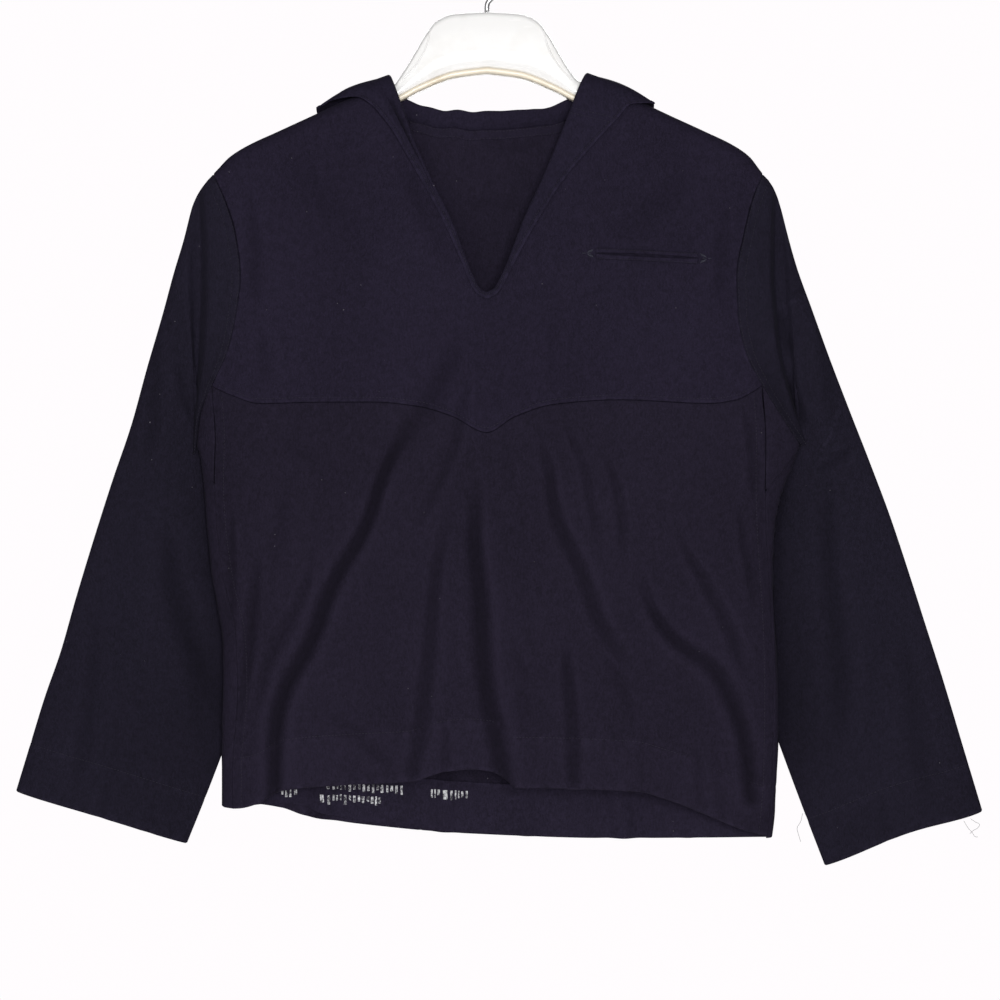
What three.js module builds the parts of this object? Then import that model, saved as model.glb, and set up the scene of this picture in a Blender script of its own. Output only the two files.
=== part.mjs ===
// Sailor jumper on a hanger: a navy wool pullover with a sailor collar, hung on a plastic hanger.
// Millimetres. X runs to the viewer's right, Y away from the viewer, Z up.
// The origin is the inner top of the hook, where a rail carries it.
import * as THREE from 'three';

// Cloth and seams
const WALL = 1.8;
const HEM_WALL = 3.0;
const HEM_DEPTH = 45;
const HALF_GAP = 0.15;
const FRONT = -1;
const BACK = 1;

// Landmarks of the body, measured down from the hook
const SHOULDER_POINT_Z = -202;
const YOKE_CORNER = { z: -393, left: -246, right: 246 };
const UNDERARM = { z: -446 };
const HEM_CORNER = { left: -772, right: -798 };

// Grid sizes
const YOKE_ROWS = 9;
const GUSSET_ROWS = 4;
const BACK_YOKE_ROWS = 10;
const PANEL_COLUMNS = 36;
const FRONT_ROWS = 17;
const GUSSET_TIP_ROW = 4;
const GUSSET_START = 3;
const BACK_COLUMNS = 24;

// Body sections: the edges of the outline, how far front and back stand off, how square the side is
const BODY = [
  { z: -99, left: -261, right: 268, front: 16, back: 15, blunt: 6 },
  { z: -207, left: -261, right: 268, front: 21, back: 15, blunt: 5 },
  { z: -297, left: -262, right: 271, front: 27, back: 14, blunt: 3.8 },
  { z: -387, left: -261, right: 276, front: 32, back: 13, blunt: 3 },
  { z: -446, left: -260, right: 281, front: 33, back: 12, blunt: 2.7 },
  { z: -464, left: -258, right: 276, front: 33, back: 12, blunt: 2.6 },
  { z: -480, left: -256, right: 269, front: 33, back: 12, blunt: 2.6 },
  { z: -519, left: -253, right: 260, front: 33, back: 12, blunt: 2.6 },
  { z: -564, left: -248, right: 258, front: 33, back: 12, blunt: 2.6 },
  { z: -630, left: -238, right: 261, front: 33, back: 12, blunt: 2.6 },
  { z: -702, left: -239, right: 263, front: 34, back: 13, blunt: 2.6 },
  { z: -772, left: -239, right: 260, front: 35, back: 15, blunt: 2.6 },
  { z: -802, left: -239, right: 257, front: 35, back: 15, blunt: 2.6 },
];
// Shoulder line over the hanger, continued across the neck
const SHOULDER = [
  { x: -256, z: -214 }, { x: -246, z: -202 }, { x: -231, z: -186 }, { x: -213, z: -175 },
  { x: -189, z: -164 }, { x: -165, z: -153 }, { x: -87, z: -118 }, { x: 0, z: -92 },
  { x: 87, z: -115 }, { x: 173, z: -153 }, { x: 197, z: -164 }, { x: 220, z: -175 },
  { x: 236, z: -186 }, { x: 248, z: -202 }, { x: 258, z: -215 },
];
const ARMHOLE = [
  { z: -202, left: -246, right: 248 }, { z: -225, left: -235, right: 238 },
  { z: -256, left: -225, right: 230 }, { z: -295, left: -220, right: 223 },
  { z: -330, left: -224, right: 224 }, { z: -360, left: -231, right: 230 },
  { z: -393, left: -246, right: 246 }, { z: -418, left: -256, right: 262 },
  { z: -446, left: -260, right: 281 },
];
const YOKE_SEAM = [
  { x: -256, z: -386 }, { x: -246, z: -393 }, { x: -229, z: -401 }, { x: -202, z: -409 },
  { x: -148, z: -408 }, { x: -103, z: -408 }, { x: -60, z: -412 }, { x: -30, z: -421 },
  { x: 0, z: -435 }, { x: 25, z: -421 }, { x: 60, z: -410 }, { x: 117, z: -406 },
  { x: 198, z: -409 }, { x: 221, z: -406 }, { x: 246, z: -393 }, { x: 256, z: -386 },
];
const SIDE_SEAM = [
  { z: -393, left: -246, right: 246 }, { z: -441, left: -243, right: 249 },
  { z: -476, left: -244, right: 249 }, { z: -519, left: -242, right: 250 },
  { z: -564, left: -236, right: 253 }, { z: -615, left: -225, right: 256 },
  { z: -666, left: -223, right: 257 }, { z: -738, left: -228, right: 256 },
  { z: -802, left: -228, right: 251 },
];
const FRONT_HEM = [
  { x: -240, z: -772 }, { x: -222, z: -771 }, { x: -202, z: -765 }, { x: -183, z: -754 },
  { x: -123, z: -748 }, { x: -70, z: -745 }, { x: -38, z: -736 }, { x: -15, z: -734 },
  { x: 3, z: -736 }, { x: 25, z: -750 }, { x: 66, z: -751 }, { x: 130, z: -754 },
  { x: 160, z: -762 }, { x: 195, z: -776 }, { x: 232, z: -791 }, { x: 257, z: -798 },
];
const BACK_HEM = [
  { x: -240, z: -772 }, { x: -222, z: -771 }, { x: -195, z: -769 }, { x: -168, z: -773 },
  { x: -150, z: -780 }, { x: -86, z: -790 }, { x: -10, z: -797 }, { x: 102, z: -801 },
  { x: 192, z: -800 }, { x: 257, z: -798 },
];
// Main folds of the front and the back: a curve through three points, half width and depth
const FOLDS = [
  { face: FRONT, x1: -58, z1: -414, x2: -139, z2: -573, x3: -189, z3: -705, width: 15, depth: -6 },
  { face: FRONT, x1: -18, z1: -444, x2: -50, z2: -594, x3: -56, z3: -715, width: 13, depth: -3 },
  { face: FRONT, x1: -13, z1: -504, x2: 2, z2: -650, x3: 16, z3: -741, width: 14, depth: -5 },
  { face: FRONT, x1: 41, z1: -426, x2: 86, z2: -573, x3: 126, z3: -651, width: 13, depth: -4 },
  { face: FRONT, x1: 66, z1: -414, x2: 132, z2: -560, x3: 222, z3: -722, width: 14, depth: -5 },
  { face: BACK, x1: -95, z1: -420, x2: -120, z2: -600, x3: -150, z3: -765, width: 18, depth: 5 },
  { face: BACK, x1: -20, z1: -440, x2: -28, z2: -620, x3: -38, z3: -785, width: 18, depth: 4 },
  { face: BACK, x1: 70, z1: -430, x2: 92, z2: -600, x3: 120, z3: -780, width: 18, depth: 5 },
];

// Collar: the roll line at the neck and the outer edge, from the point of the V up to the shoulder
const COLLAR_LEFT = [
  { s: 0.0, rollX: 0, rollZ: -310, edgeX: 0, edgeZ: -317, lift: 0 },
  { s: 0.06, rollX: -9, rollZ: -301, edgeX: -13, edgeZ: -306, lift: 0 },
  { s: 0.16, rollX: -17, rollZ: -283, edgeX: -21.5, edgeZ: -286, lift: 0 },
  { s: 0.3, rollX: -31, rollZ: -246, edgeX: -37, edgeZ: -250, lift: 0 },
  { s: 0.5, rollX: -51, rollZ: -204, edgeX: -58, edgeZ: -210, lift: 1 },
  { s: 0.68, rollX: -65, rollZ: -172, edgeX: -75, edgeZ: -181, lift: 3 },
  { s: 0.84, rollX: -75, rollZ: -144, edgeX: -92, edgeZ: -155, lift: 6 },
  { s: 0.93, rollX: -81, rollZ: -128, edgeX: -115, edgeZ: -137, lift: 8 },
  { s: 1.0, rollX: -85, rollZ: -117, edgeX: -152, edgeZ: -147, lift: 6 },
];
const COLLAR_RIGHT = [
  { s: 0.0, rollX: 0, rollZ: -310, edgeX: 0, edgeZ: -317, lift: 0 },
  { s: 0.06, rollX: 9, rollZ: -301, edgeX: 13, edgeZ: -306, lift: 0 },
  { s: 0.16, rollX: 18, rollZ: -283, edgeX: 23.5, edgeZ: -286, lift: 0 },
  { s: 0.3, rollX: 32, rollZ: -246, edgeX: 43, edgeZ: -250, lift: 0 },
  { s: 0.5, rollX: 51, rollZ: -204, edgeX: 69, edgeZ: -209, lift: 0 },
  { s: 0.68, rollX: 64, rollZ: -172, edgeX: 93, edgeZ: -180, lift: 1 },
  { s: 0.84, rollX: 75, rollZ: -144, edgeX: 117, edgeZ: -154, lift: 2 },
  { s: 0.93, rollX: 81, rollZ: -128, edgeX: 130, edgeZ: -142, lift: 4 },
  { s: 1.0, rollX: 87, rollZ: -115, edgeX: 149, edgeZ: -143, lift: 5 },
];
// The same two lines from the shoulder round to the middle of the back flap, for one side
const COLLAR_BACK = [
  { s: 1.0, roll: 86, rollZ: -116, edge: 150, edgeZ: -145 },
  { s: 1.15, roll: 80, rollZ: -127, edge: 150, edgeZ: -190 },
  { s: 1.3, roll: 69, rollZ: -134, edge: 149, edgeZ: -262 },
  { s: 1.5, roll: 51, rollZ: -140, edge: 148, edgeZ: -376 },
  { s: 1.75, roll: 26, rollZ: -143, edge: 74, edgeZ: -379 },
  { s: 2.0, roll: 0, rollZ: -144, edge: 0, edgeZ: -380 },
];
const STAND_HEIGHT = [{ s: 0, h: 0.5 }, { s: 0.5, h: 1 }, { s: 1, h: 10 }, { s: 1.4, h: 15 }, { s: 2, h: 16 }];
const FOLD_RADIUS = 1.25;
const FALL_OFFSET = 2.5;
const COLLAR_STATIONS = [
  0, 0.03, 0.07, 0.13, 0.22, 0.34, 0.47, 0.6, 0.73, 0.84, 0.91, 0.96, 0.985,
  1, 1.01, 1.03, 1.07, 1.14, 1.24, 1.36, 1.5, 1.65, 1.82, 2,
];

// Sleeve sections from the armhole down to the cuff: the outer and the inner end of each flattened
// ring, how far it follows the curve of the armhole, its depths and where its middle lies in Y
const SLEEVE_LEFT = [
  { outX: -251, outZ: -207, inX: -262, inZ: -451, follow: 0.75, front: 18, back: 12, midOut: 0, midIn: 0 },
  { outX: -255, outZ: -212, inX: -264, inZ: -454, follow: 0.35, front: 16, back: 12, midOut: 0, midIn: 2 },
  { outX: -260, outZ: -219, inX: -265, inZ: -456, follow: 0.12, front: 4, back: 13, midOut: 1, midIn: 4 },
  { outX: -265, outZ: -230, inX: -263, inZ: -459, follow: 0.03, front: 7, back: 13, midOut: 1, midIn: 8 },
  { outX: -273, outZ: -261, inX: -257, inZ: -465, follow: 0, front: 13, back: 13, midOut: 1, midIn: 13 },
  { outX: -282, outZ: -291, inX: -249, inZ: -475, follow: 0, front: 13, back: 13, midOut: 1, midIn: 20 },
  { outX: -292, outZ: -328, inX: -241, inZ: -489, follow: 0, front: 13, back: 13, midOut: 1, midIn: 25 },
  { outX: -306, outZ: -376, inX: -234, inZ: -510, follow: 0, front: 13, back: 12, midOut: 1, midIn: 27 },
  { outX: -320, outZ: -427, inX: -229, inZ: -535, follow: 0, front: 13, back: 12, midOut: 1, midIn: 28 },
  { outX: -337, outZ: -477, inX: -222, inZ: -570, follow: 0, front: 13, back: 12, midOut: 1, midIn: 28 },
  { outX: -353, outZ: -527, inX: -218, inZ: -606, follow: 0, front: 13, back: 12, midOut: 1, midIn: 28 },
  { outX: -370, outZ: -583, inX: -220, inZ: -647, follow: 0, front: 13, back: 12, midOut: 1, midIn: 27 },
  { outX: -384, outZ: -632, inX: -228, inZ: -688, follow: 0, front: 12, back: 12, midOut: 1, midIn: 24 },
  { outX: -398, outZ: -672, inX: -240, inZ: -724, follow: 0, front: 12, back: 12, midOut: 1, midIn: 18 },
  { outX: -410, outZ: -711, inX: -254, inZ: -762, follow: 0, front: 12, back: 12, midOut: 1, midIn: 11 },
  { outX: -424, outZ: -757, inX: -271, inZ: -805, follow: 0, front: 12, back: 12, midOut: 1, midIn: 7 },
];
const SLEEVE_RIGHT = [
  { outX: 253, outZ: -207, inX: 287, inZ: -447, follow: 0.75, front: 18, back: 12, midOut: 0, midIn: 0 },
  { outX: 257, outZ: -213, inX: 289, inZ: -449, follow: 0.45, front: 16, back: 12, midOut: 0, midIn: 2 },
  { outX: 261, outZ: -221, inX: 289, inZ: -452, follow: 0.3, front: 4, back: 13, midOut: 1, midIn: 4 },
  { outX: 265, outZ: -234, inX: 288, inZ: -456, follow: 0.15, front: 7, back: 13, midOut: 1, midIn: 8 },
  { outX: 271, outZ: -258, inX: 284, inZ: -462, follow: 0.04, front: 13, back: 13, midOut: 1, midIn: 13 },
  { outX: 279, outZ: -286, inX: 278, inZ: -470, follow: 0, front: 13, back: 13, midOut: 1, midIn: 20 },
  { outX: 292, outZ: -322, inX: 268, inZ: -483, follow: 0, front: 13, back: 13, midOut: 1, midIn: 25 },
  { outX: 309, outZ: -369, inX: 256, inZ: -503, follow: 0, front: 13, back: 12, midOut: 1, midIn: 27 },
  { outX: 327, outZ: -416, inX: 247, inZ: -532, follow: 0, front: 13, back: 12, midOut: 1, midIn: 28 },
  { outX: 345, outZ: -462, inX: 241, inZ: -567, follow: 0, front: 13, back: 12, midOut: 1, midIn: 28 },
  { outX: 363, outZ: -510, inX: 239, inZ: -603, follow: 0, front: 13, back: 12, midOut: 1, midIn: 28 },
  { outX: 380, outZ: -561, inX: 243, inZ: -642, follow: 0, front: 13, back: 12, midOut: 1, midIn: 27 },
  { outX: 395, outZ: -608, inX: 253, inZ: -682, follow: 0, front: 12, back: 12, midOut: 1, midIn: 24 },
  { outX: 410, outZ: -655, inX: 267, inZ: -722, follow: 0, front: 12, back: 12, midOut: 1, midIn: 18 },
  { outX: 428, outZ: -715, inX: 285, inZ: -772, follow: 0, front: 12, back: 12, midOut: 1, midIn: 11 },
  { outX: 446, outZ: -775, inX: 305, inZ: -825, follow: 0, front: 12, back: 12, midOut: 1, midIn: 7 },
];

// Breast pocket: a slit with a narrow band above and below it
const POCKET = { left: 97, right: 188, slitLeftZ: -275.5, slitRightZ: -279.5 };
const WELT = { height: 4.2, lowerHeight: 5, slit: 0.9, thickness: 1.2, offset: 1.5 };

// Inside the back: the neck tape and the facing of the hem
const TAPE = { half: 66, height: 9, thickness: 1 };
const FACING = { raise: 0.6, thickness: 1.1 };

// Hanger: crown and lower edge of its plate for one side, and half its thickness
const HANGER = [
  { x: 0, top: -56, bottom: -106, half: 5.5 },
  { x: 30, top: -58, bottom: -110, half: 5.6 },
  { x: 45, top: -64, bottom: -115, half: 5.7 },
  { x: 54, top: -75, bottom: -119, half: 5.8 },
  { x: 63, top: -90, bottom: -123, half: 5.8 },
  { x: 72, top: -105, bottom: -128, half: 5.8 },
  { x: 80, top: -117, bottom: -132, half: 5.4 },
  { x: 100, top: -150, bottom: -144, half: 5 },
  { x: 150, top: -190, bottom: -174, half: 7.6 },
  { x: 200, top: -230, bottom: -200, half: 8 },
  { x: 222, top: -250, bottom: -211, half: 6.5 },
  { x: 236, top: -260, bottom: -214, half: 4 },
];
const HANGER_REACH = 236;
const ARM_CLEARANCE = 0.8;
const RIM = { reach: 104, height: 5, extra: 0.8 };
const HOOK = { wire: 4.6, bend: 20, shankTop: -46, shankBottom: -55.7, sides: 8, steps: 34 };

const { abs, acos, cos, exp, max, min, PI, sin, sqrt } = Math;
const clamp = (value, low, high) => min(max(value, low), high);
const mix = (a, b, t) => a + (b - a) * t;
const smooth = (t) => {
  const u = clamp(t, 0, 1);
  return u * u * (3 - 2 * u);
};
const steps = (count) => Array.from({ length: count + 1 }, (_, i) => i / count);

// A smooth curve through one column of a table against another, without overshoot
function curve(rows, from, to) {
  const sorted = [...rows].sort((a, b) => a[from] - b[from]);
  const x = sorted.map((row) => row[from]);
  const y = sorted.map((row) => row[to]);
  const last = x.length - 1;
  const slope = x.slice(1).map((value, i) => (y[i + 1] - y[i]) / (value - x[i]));
  const tangent = x.map((_, i) => {
    if (i === 0) return slope[0];
    if (i === last) return slope[last - 1];
    const product = slope[i - 1] * slope[i];
    return product <= 0 ? 0 : (2 * product) / (slope[i - 1] + slope[i]);
  });
  return (at) => {
    const t = clamp(at, x[0], x[last]);
    let i = 0;
    while (i < last - 1 && t > x[i + 1]) i += 1;
    const span = x[i + 1] - x[i];
    const u = (t - x[i]) / span;
    const rise = y[i + 1] - y[i];
    const cubic = tangent[i] + tangent[i + 1] - (2 * rise) / span;
    const square = (3 * rise) / span - 2 * tangent[i] - tangent[i + 1];
    return y[i] + span * u * (tangent[i] + u * (square + u * cubic));
  };
}

const bodyLeft = curve(BODY, 'z', 'left');
const bodyRight = curve(BODY, 'z', 'right');
const bodyFront = curve(BODY, 'z', 'front');
const bodyBack = curve(BODY, 'z', 'back');
const bodyBlunt = curve(BODY, 'z', 'blunt');
const shoulder = curve(SHOULDER, 'x', 'z');
const armhole = { left: curve(ARMHOLE, 'z', 'left'), right: curve(ARMHOLE, 'z', 'right') };
const sideSeam = { left: curve(SIDE_SEAM, 'z', 'left'), right: curve(SIDE_SEAM, 'z', 'right') };
const yokeSeam = curve(YOKE_SEAM, 'x', 'z');
const frontHem = curve(FRONT_HEM, 'x', 'z');
const backHem = curve(BACK_HEM, 'x', 'z');
const standHeight = curve(STAND_HEIGHT, 's', 'h');
const hangerHalf = curve(HANGER, 'x', 'half');
const hangerTop = curve(HANGER, 'x', 'top');
const hangerBottom = curve(HANGER, 'x', 'bottom');

const halfWidth = (z) => (bodyRight(z) - bodyLeft(z)) / 2;
const middle = (z) => (bodyRight(z) + bodyLeft(z)) / 2;
const across = (x, z) => clamp((x - middle(z)) / halfWidth(z), -0.9999, 0.9999);
const shoulderRoll = (x) => 7.5 + 4.5 * smooth(abs(x) / 225) + 1 + WALL;

// How far a fold pushes the cloth in or out at a place on one face
function foldDepth(x, z, face) {
  let total = 0;
  for (const f of FOLDS) {
    if (f.face !== face || z > f.z1 + 30 || z < f.z3 - 30) continue;
    const a = ((z - f.z2) * (z - f.z3)) / ((f.z1 - f.z2) * (f.z1 - f.z3));
    const b = ((z - f.z1) * (z - f.z3)) / ((f.z2 - f.z1) * (f.z2 - f.z3));
    const c = ((z - f.z1) * (z - f.z2)) / ((f.z3 - f.z1) * (f.z3 - f.z2));
    const off = (x - a * f.x1 - b * f.x2 - c * f.x3) / f.width;
    const fade = smooth((f.z1 + 10 - z) / 60) * smooth((z - f.z3 + 45) / 60);
    total += f.depth * exp(-off * off) * fade;
  }
  return total;
}

// Distance of the outer cloth from the plane of the hanger
function depth(x, z, face) {
  const a = abs(across(x, z));
  const drop = max(shoulder(x) - z, 0);
  const roll = shoulderRoll(x);
  const rise = 1 - min(drop / roll, 1);
  const lens = sqrt(1 - a ** bodyBlunt(z));
  const full = face === FRONT ? bodyFront(z) : bodyBack(z);
  const start = face === FRONT ? 10 : 45;
  const hang = (full - roll) * smooth((drop - start) / 150);
  const calm = smooth((1 - a) / 0.12) * smooth((drop - 60) / 60);
  return (roll * sqrt(1 - rise * rise) + hang) * lens + foldDepth(x, z, face) * calm;
}

// A point of the outer cloth with its outward normal
function skin(x, z, face, lift = 0) {
  const low = min(z, shoulder(x));
  const d = 0.05;
  const probe = min(low, shoulder(x) - 0.1);
  const slopeX = (depth(x + d, probe, face) - depth(x - d, probe, face)) / (2 * d);
  const slopeZ = (depth(x, probe + d, face) - depth(x, probe - d, face)) / (2 * d);
  const n = new THREE.Vector3(-slopeX, face, -slopeZ);
  if (z >= shoulder(x)) n.y = 0;
  n.normalize();
  const p = new THREE.Vector3(x, face * depth(x, low, face), low);
  return { p: p.addScaledVector(n, lift), n };
}

// A point on the armhole or the side seam, moved sideways into its own piece
function seamVertex(line, z, face, shift) {
  const vertex = skin(line(z), z, face);
  vertex.p.x += shift;
  return vertex;
}
const edgeRow = (i, key) => mix(YOKE_CORNER.z, HEM_CORNER[key], i / FRONT_ROWS);

// A closed cloth wall over a grid of outer points: outside, inside and the edges between them
function wall(rows, options = {}) {
  const { ring = false, thickness = () => WALL, flip = false } = options;
  const count = rows[0].length;
  const total = rows.length * count;
  const at = (i, j) => i * count + ((j + count) % count);
  const point = (i, j) => rows[i][(j + count) % count].p;
  const positions = [];
  const inner = [];
  rows.forEach((row, i) => row.forEach((vertex, j) => {
    const n = vertex.n ? vertex.n.clone() : gridNormal(i, j);
    positions.push(...vertex.p.toArray());
    inner.push(...vertex.p.clone().addScaledVector(n, -thickness(i, j, vertex)).toArray());
  }));
  function gridNormal(i, j) {
    const ahead = ring ? j + 1 : min(j + 1, count - 1);
    const behind = ring ? j - 1 : max(j - 1, 0);
    const alongRow = point(i, ahead).clone().sub(point(i, behind));
    const down = point(min(i + 1, rows.length - 1), j).clone().sub(point(max(i - 1, 0), j));
    const n = alongRow.cross(down).normalize();
    return flip ? n : n.negate();
  }
  const faces = [];
  const quad = (a, b, c, d) => (flip ? faces.push(a, c, b, a, d, c) : faces.push(a, b, c, a, c, d));
  const lastColumn = ring ? count : count - 1;
  for (let i = 0; i < rows.length - 1; i += 1) {
    for (let j = 0; j < lastColumn; j += 1) {
      quad(at(i, j), at(i + 1, j), at(i + 1, j + 1), at(i, j + 1));
      quad(at(i, j) + total, at(i, j + 1) + total, at(i + 1, j + 1) + total, at(i + 1, j) + total);
    }
    if (!ring) {
      quad(at(i, 0), at(i, 0) + total, at(i + 1, 0) + total, at(i + 1, 0));
      const e = count - 1;
      quad(at(i, e), at(i + 1, e), at(i + 1, e) + total, at(i, e) + total);
    }
  }
  const end = rows.length - 1;
  for (let j = 0; j < lastColumn; j += 1) {
    quad(at(0, j), at(0, j + 1), at(0, j + 1) + total, at(0, j) + total);
    quad(at(end, j), at(end, j) + total, at(end, j + 1) + total, at(end, j + 1));
  }
  return solid([...positions, ...inner], faces);
}

// A closed body lofted through rings of equal size along X
function loft(rings) {
  const count = rings[0].length;
  const faces = [];
  for (let i = 0; i < rings.length - 1; i += 1) {
    for (let j = 0; j < count; j += 1) {
      const k = (j + 1) % count;
      const a = i * count;
      const b = a + count;
      faces.push(a + j, b + k, b + j, a + j, a + k, b + k);
    }
  }
  const end = (rings.length - 1) * count;
  for (let j = 1; j < count - 1; j += 1) {
    faces.push(0, j + 1, j, end, end + j, end + j + 1);
  }
  return solid(rings.flat().flatMap((p) => p.toArray()), faces);
}

function solid(positions, faces) {
  const geometry = new THREE.BufferGeometry();
  geometry.setAttribute('position', new THREE.Float32BufferAttribute(positions, 3));
  geometry.setIndex(faces);
  geometry.computeVertexNormals();
  return geometry;
}

// Neckline at s, from the point of the V (0) over the shoulder (1) to the middle of the back (2):
// the roll line, the collar's outer edge and the neck seam under the collar
function tableFor(side) {
  const front = side < 0 ? COLLAR_LEFT : COLLAR_RIGHT;
  const back = COLLAR_BACK.slice(1).map((row) => ({
    s: row.s, rollX: side * row.roll, rollZ: row.rollZ, edgeX: side * row.edge, edgeZ: row.edgeZ,
    lift: 5 * smooth((1.3 - row.s) / 0.3),
  }));
  return [...front, ...back];
}
const collarCurves = [-1, 1].map((side) => {
  const rows = tableFor(side);
  return Object.fromEntries(
    ['rollX', 'rollZ', 'edgeX', 'edgeZ', 'lift'].map((key) => [key, curve(rows, 's', key)]),
  );
});
function neckline(s, side) {
  const line = collarCurves[side < 0 ? 0 : 1];
  const roll = new THREE.Vector2(line.rollX(s), line.rollZ(s));
  const edge = new THREE.Vector2(line.edgeX(s), line.edgeZ(s));
  const out = edge.clone().sub(roll).normalize();
  const reach = standHeight(s) + FOLD_RADIUS + WALL / 2;
  const seam = roll.clone().addScaledVector(out, reach);
  return { roll, edge, out, seam, lift: line.lift(s), face: s <= 1 ? FRONT : BACK };
}

// Spacing of rows that is close at a rounded edge and wide away from it
const closeAtStart = (t, angle) => (1 - cos(angle * t)) / (1 - cos(angle));
const backDrop = (t) => (1 - cos(PI * t ** 1.25)) / 2;
const cornerAngle = acos(
  1 - (2 * (SHOULDER_POINT_Z - YOKE_CORNER.z)) / (SHOULDER_POINT_Z - UNDERARM.z),
);
const columnPlace = (t) => mix(t, (1 - cos(PI * t)) / 2, 0.3);
const SEAM_SLACK = 1.8;
const seamTopX = (t) => mix(YOKE_CORNER.left, YOKE_CORNER.right, columnPlace(t));

// Front yoke: from the shoulder lines and the V down to the pointed seam
function frontYoke() {
  const columns = PANEL_COLUMNS;
  const half = columns / 2;
  const ridge = 9;
  const rows = steps(YOKE_ROWS).map((t) => {
    const f = closeAtStart(t, cornerAngle);
    return steps(columns).map((u, j) => {
      const side = j < half ? -1 : 1;
      const key = side < 0 ? 'left' : 'right';
      const k = j < half ? j : columns - j;
      const neckPoint = neckline(1, side).seam;
      const edgeX = armhole[key](SHOULDER_POINT_Z);
      let x;
      let z;
      if (k <= ridge) {
        x = mix(edgeX, neckPoint.x + side * SEAM_SLACK, k / ridge);
        z = shoulder(x);
      } else {
        const s = (1 + cos((PI * (k - ridge)) / (half - ridge))) / 2;
        const neck = neckline(s, side);
        const seam = neck.seam.clone().addScaledVector(neck.out, SEAM_SLACK);
        x = seam.x;
        z = seam.y;
      }
      const bottomX = seamTopX(u);
      const bottomZ = yokeSeam(bottomX) + HALF_GAP;
      const armZ = mix(SHOULDER_POINT_Z, YOKE_CORNER.z, f);
      const pull = (armhole[key](armZ) - mix(edgeX, armhole[key](YOKE_CORNER.z), f)) * (1 - k / half) ** 2;
      const vertex = k === 0
        ? seamVertex(armhole[key], armZ, FRONT, -side * HALF_GAP)
        : skin(mix(x, bottomX, f) + pull, mix(z, bottomZ, f), FRONT);
      if (f === 0 && k <= ridge) vertex.p.y = -HALF_GAP;
      if (f === 1) vertex.p.z = bottomZ;
      return vertex;
    });
  });
  return wall(rows);
}

// Front panel: from the yoke seam to the hem, its hem turned up inside
function frontPanel() {
  const footLeft = sideSeam.left(HEM_CORNER.left);
  const footRight = sideSeam.right(HEM_CORNER.right);
  const rows = steps(FRONT_ROWS).map((v, i) => steps(PANEL_COLUMNS).map((u, j) => {
    const place = columnPlace(u);
    const topX = seamTopX(u);
    const foot = frontHem(mix(footLeft, footRight, place));
    const z = mix(yokeSeam(topX) - HALF_GAP, foot, v);
    const hem = z - foot;
    const rowGap = i === 0 ? HALF_GAP : 0;
    if (j === 0) {
      return { ...seamVertex(sideSeam.left, edgeRow(i, 'left') - rowGap, FRONT, HALF_GAP), hem };
    }
    if (j === PANEL_COLUMNS) {
      return { ...seamVertex(sideSeam.right, edgeRow(i, 'right') - rowGap, FRONT, -HALF_GAP), hem };
    }
    const x = i === 0 ? topX : mix(sideSeam.left(z), sideSeam.right(z), place);
    return { ...skin(x, z, FRONT), hem };
  }));
  return wall(rows, { thickness: (i, j, vertex) => (vertex.hem < HEM_DEPTH ? HEM_WALL : WALL) });
}

// Underarm gusset: the corner between side seam and sleeve, running out on the side seam
function gusset(side) {
  const key = side < 0 ? 'left' : 'right';
  const tip = edgeRow(GUSSET_TIP_ROW, key);
  const level = steps(GUSSET_ROWS).map((t) => underarmZ(t));
  level[0] -= GUSSET_START;
  const low = [edgeRow(GUSSET_TIP_ROW - 1, key), tip + 3];
  const rows = [...level, ...low].map((z) => {
    const start = seamVertex(sideSeam[key], z, FRONT, side * 2 * HALF_GAP);
    const end = z > UNDERARM.z
      ? seamVertex(armhole[key], z, FRONT, -side * HALF_GAP)
      : skin(gussetEdge(z, key) - side * 3 * HALF_GAP, z, FRONT);
    if (z === level[0]) {
      const t = (z - YOKE_CORNER.z) / (level[1] - YOKE_CORNER.z);
      end.p.x = mix(YOKE_CORNER[key], armhole[key](level[1]), t) - side * HALF_GAP;
    }
    const inner = start.p.x;
    const outer = end.p.x;
    return [start, skin(mix(inner, outer, 1 / 3), z, FRONT), skin(mix(inner, outer, 2 / 3), z, FRONT), end];
  });
  return wall(rows, { flip: side < 0 });
}
function underarmZ(t) {
  if (t === 0) return YOKE_CORNER.z;
  if (t === 1) return UNDERARM.z;
  const angle = mix(cornerAngle, PI, t);
  return mix(SHOULDER_POINT_Z, UNDERARM.z, (1 - cos(angle)) / 2);
}
function gussetEdge(z, key) {
  if (z >= UNDERARM.z) return armhole[key](z);
  const tip = edgeRow(GUSSET_TIP_ROW, key);
  const t = (UNDERARM.z - z) / (UNDERARM.z - tip);
  const end = across(sideSeam[key](tip), tip);
  return middle(z) + halfWidth(z) * mix(Math.sign(end), end, t);
}

// Back panel: from shoulders and neck to the hem, wrapping round to the side seams below the arm
const NECK_REACH = 98;
function backTop(x) {
  if (abs(x) >= NECK_REACH) return shoulder(x);
  const side = x < 0 ? -1 : 1;
  let low = 1;
  let high = 2;
  let seam;
  for (let pass = 0; pass < 24; pass += 1) {
    const s = (low + high) / 2;
    const neck = neckline(s, side);
    seam = neck.seam.clone().addScaledVector(neck.out, SEAM_SLACK);
    if (abs(seam.x) > abs(x)) low = s;
    else high = s;
  }
  return min(seam.y, shoulder(x));
}
function backPoint(m, z) {
  const inside = abs(m) <= 1;
  const a = inside ? m : 2 * Math.sign(m) - m;
  return skin(middle(z) + halfWidth(z) * a, z, inside ? BACK : FRONT);
}
function backEdge(z, key) {
  const sign = key === 'left' ? -1 : 1;
  if (z > UNDERARM.z) return across(armhole[key](z), z);
  const tip = edgeRow(GUSSET_TIP_ROW, key);
  return 2 * sign - across(z <= tip ? sideSeam[key](z) : gussetEdge(z, key), z);
}
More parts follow.
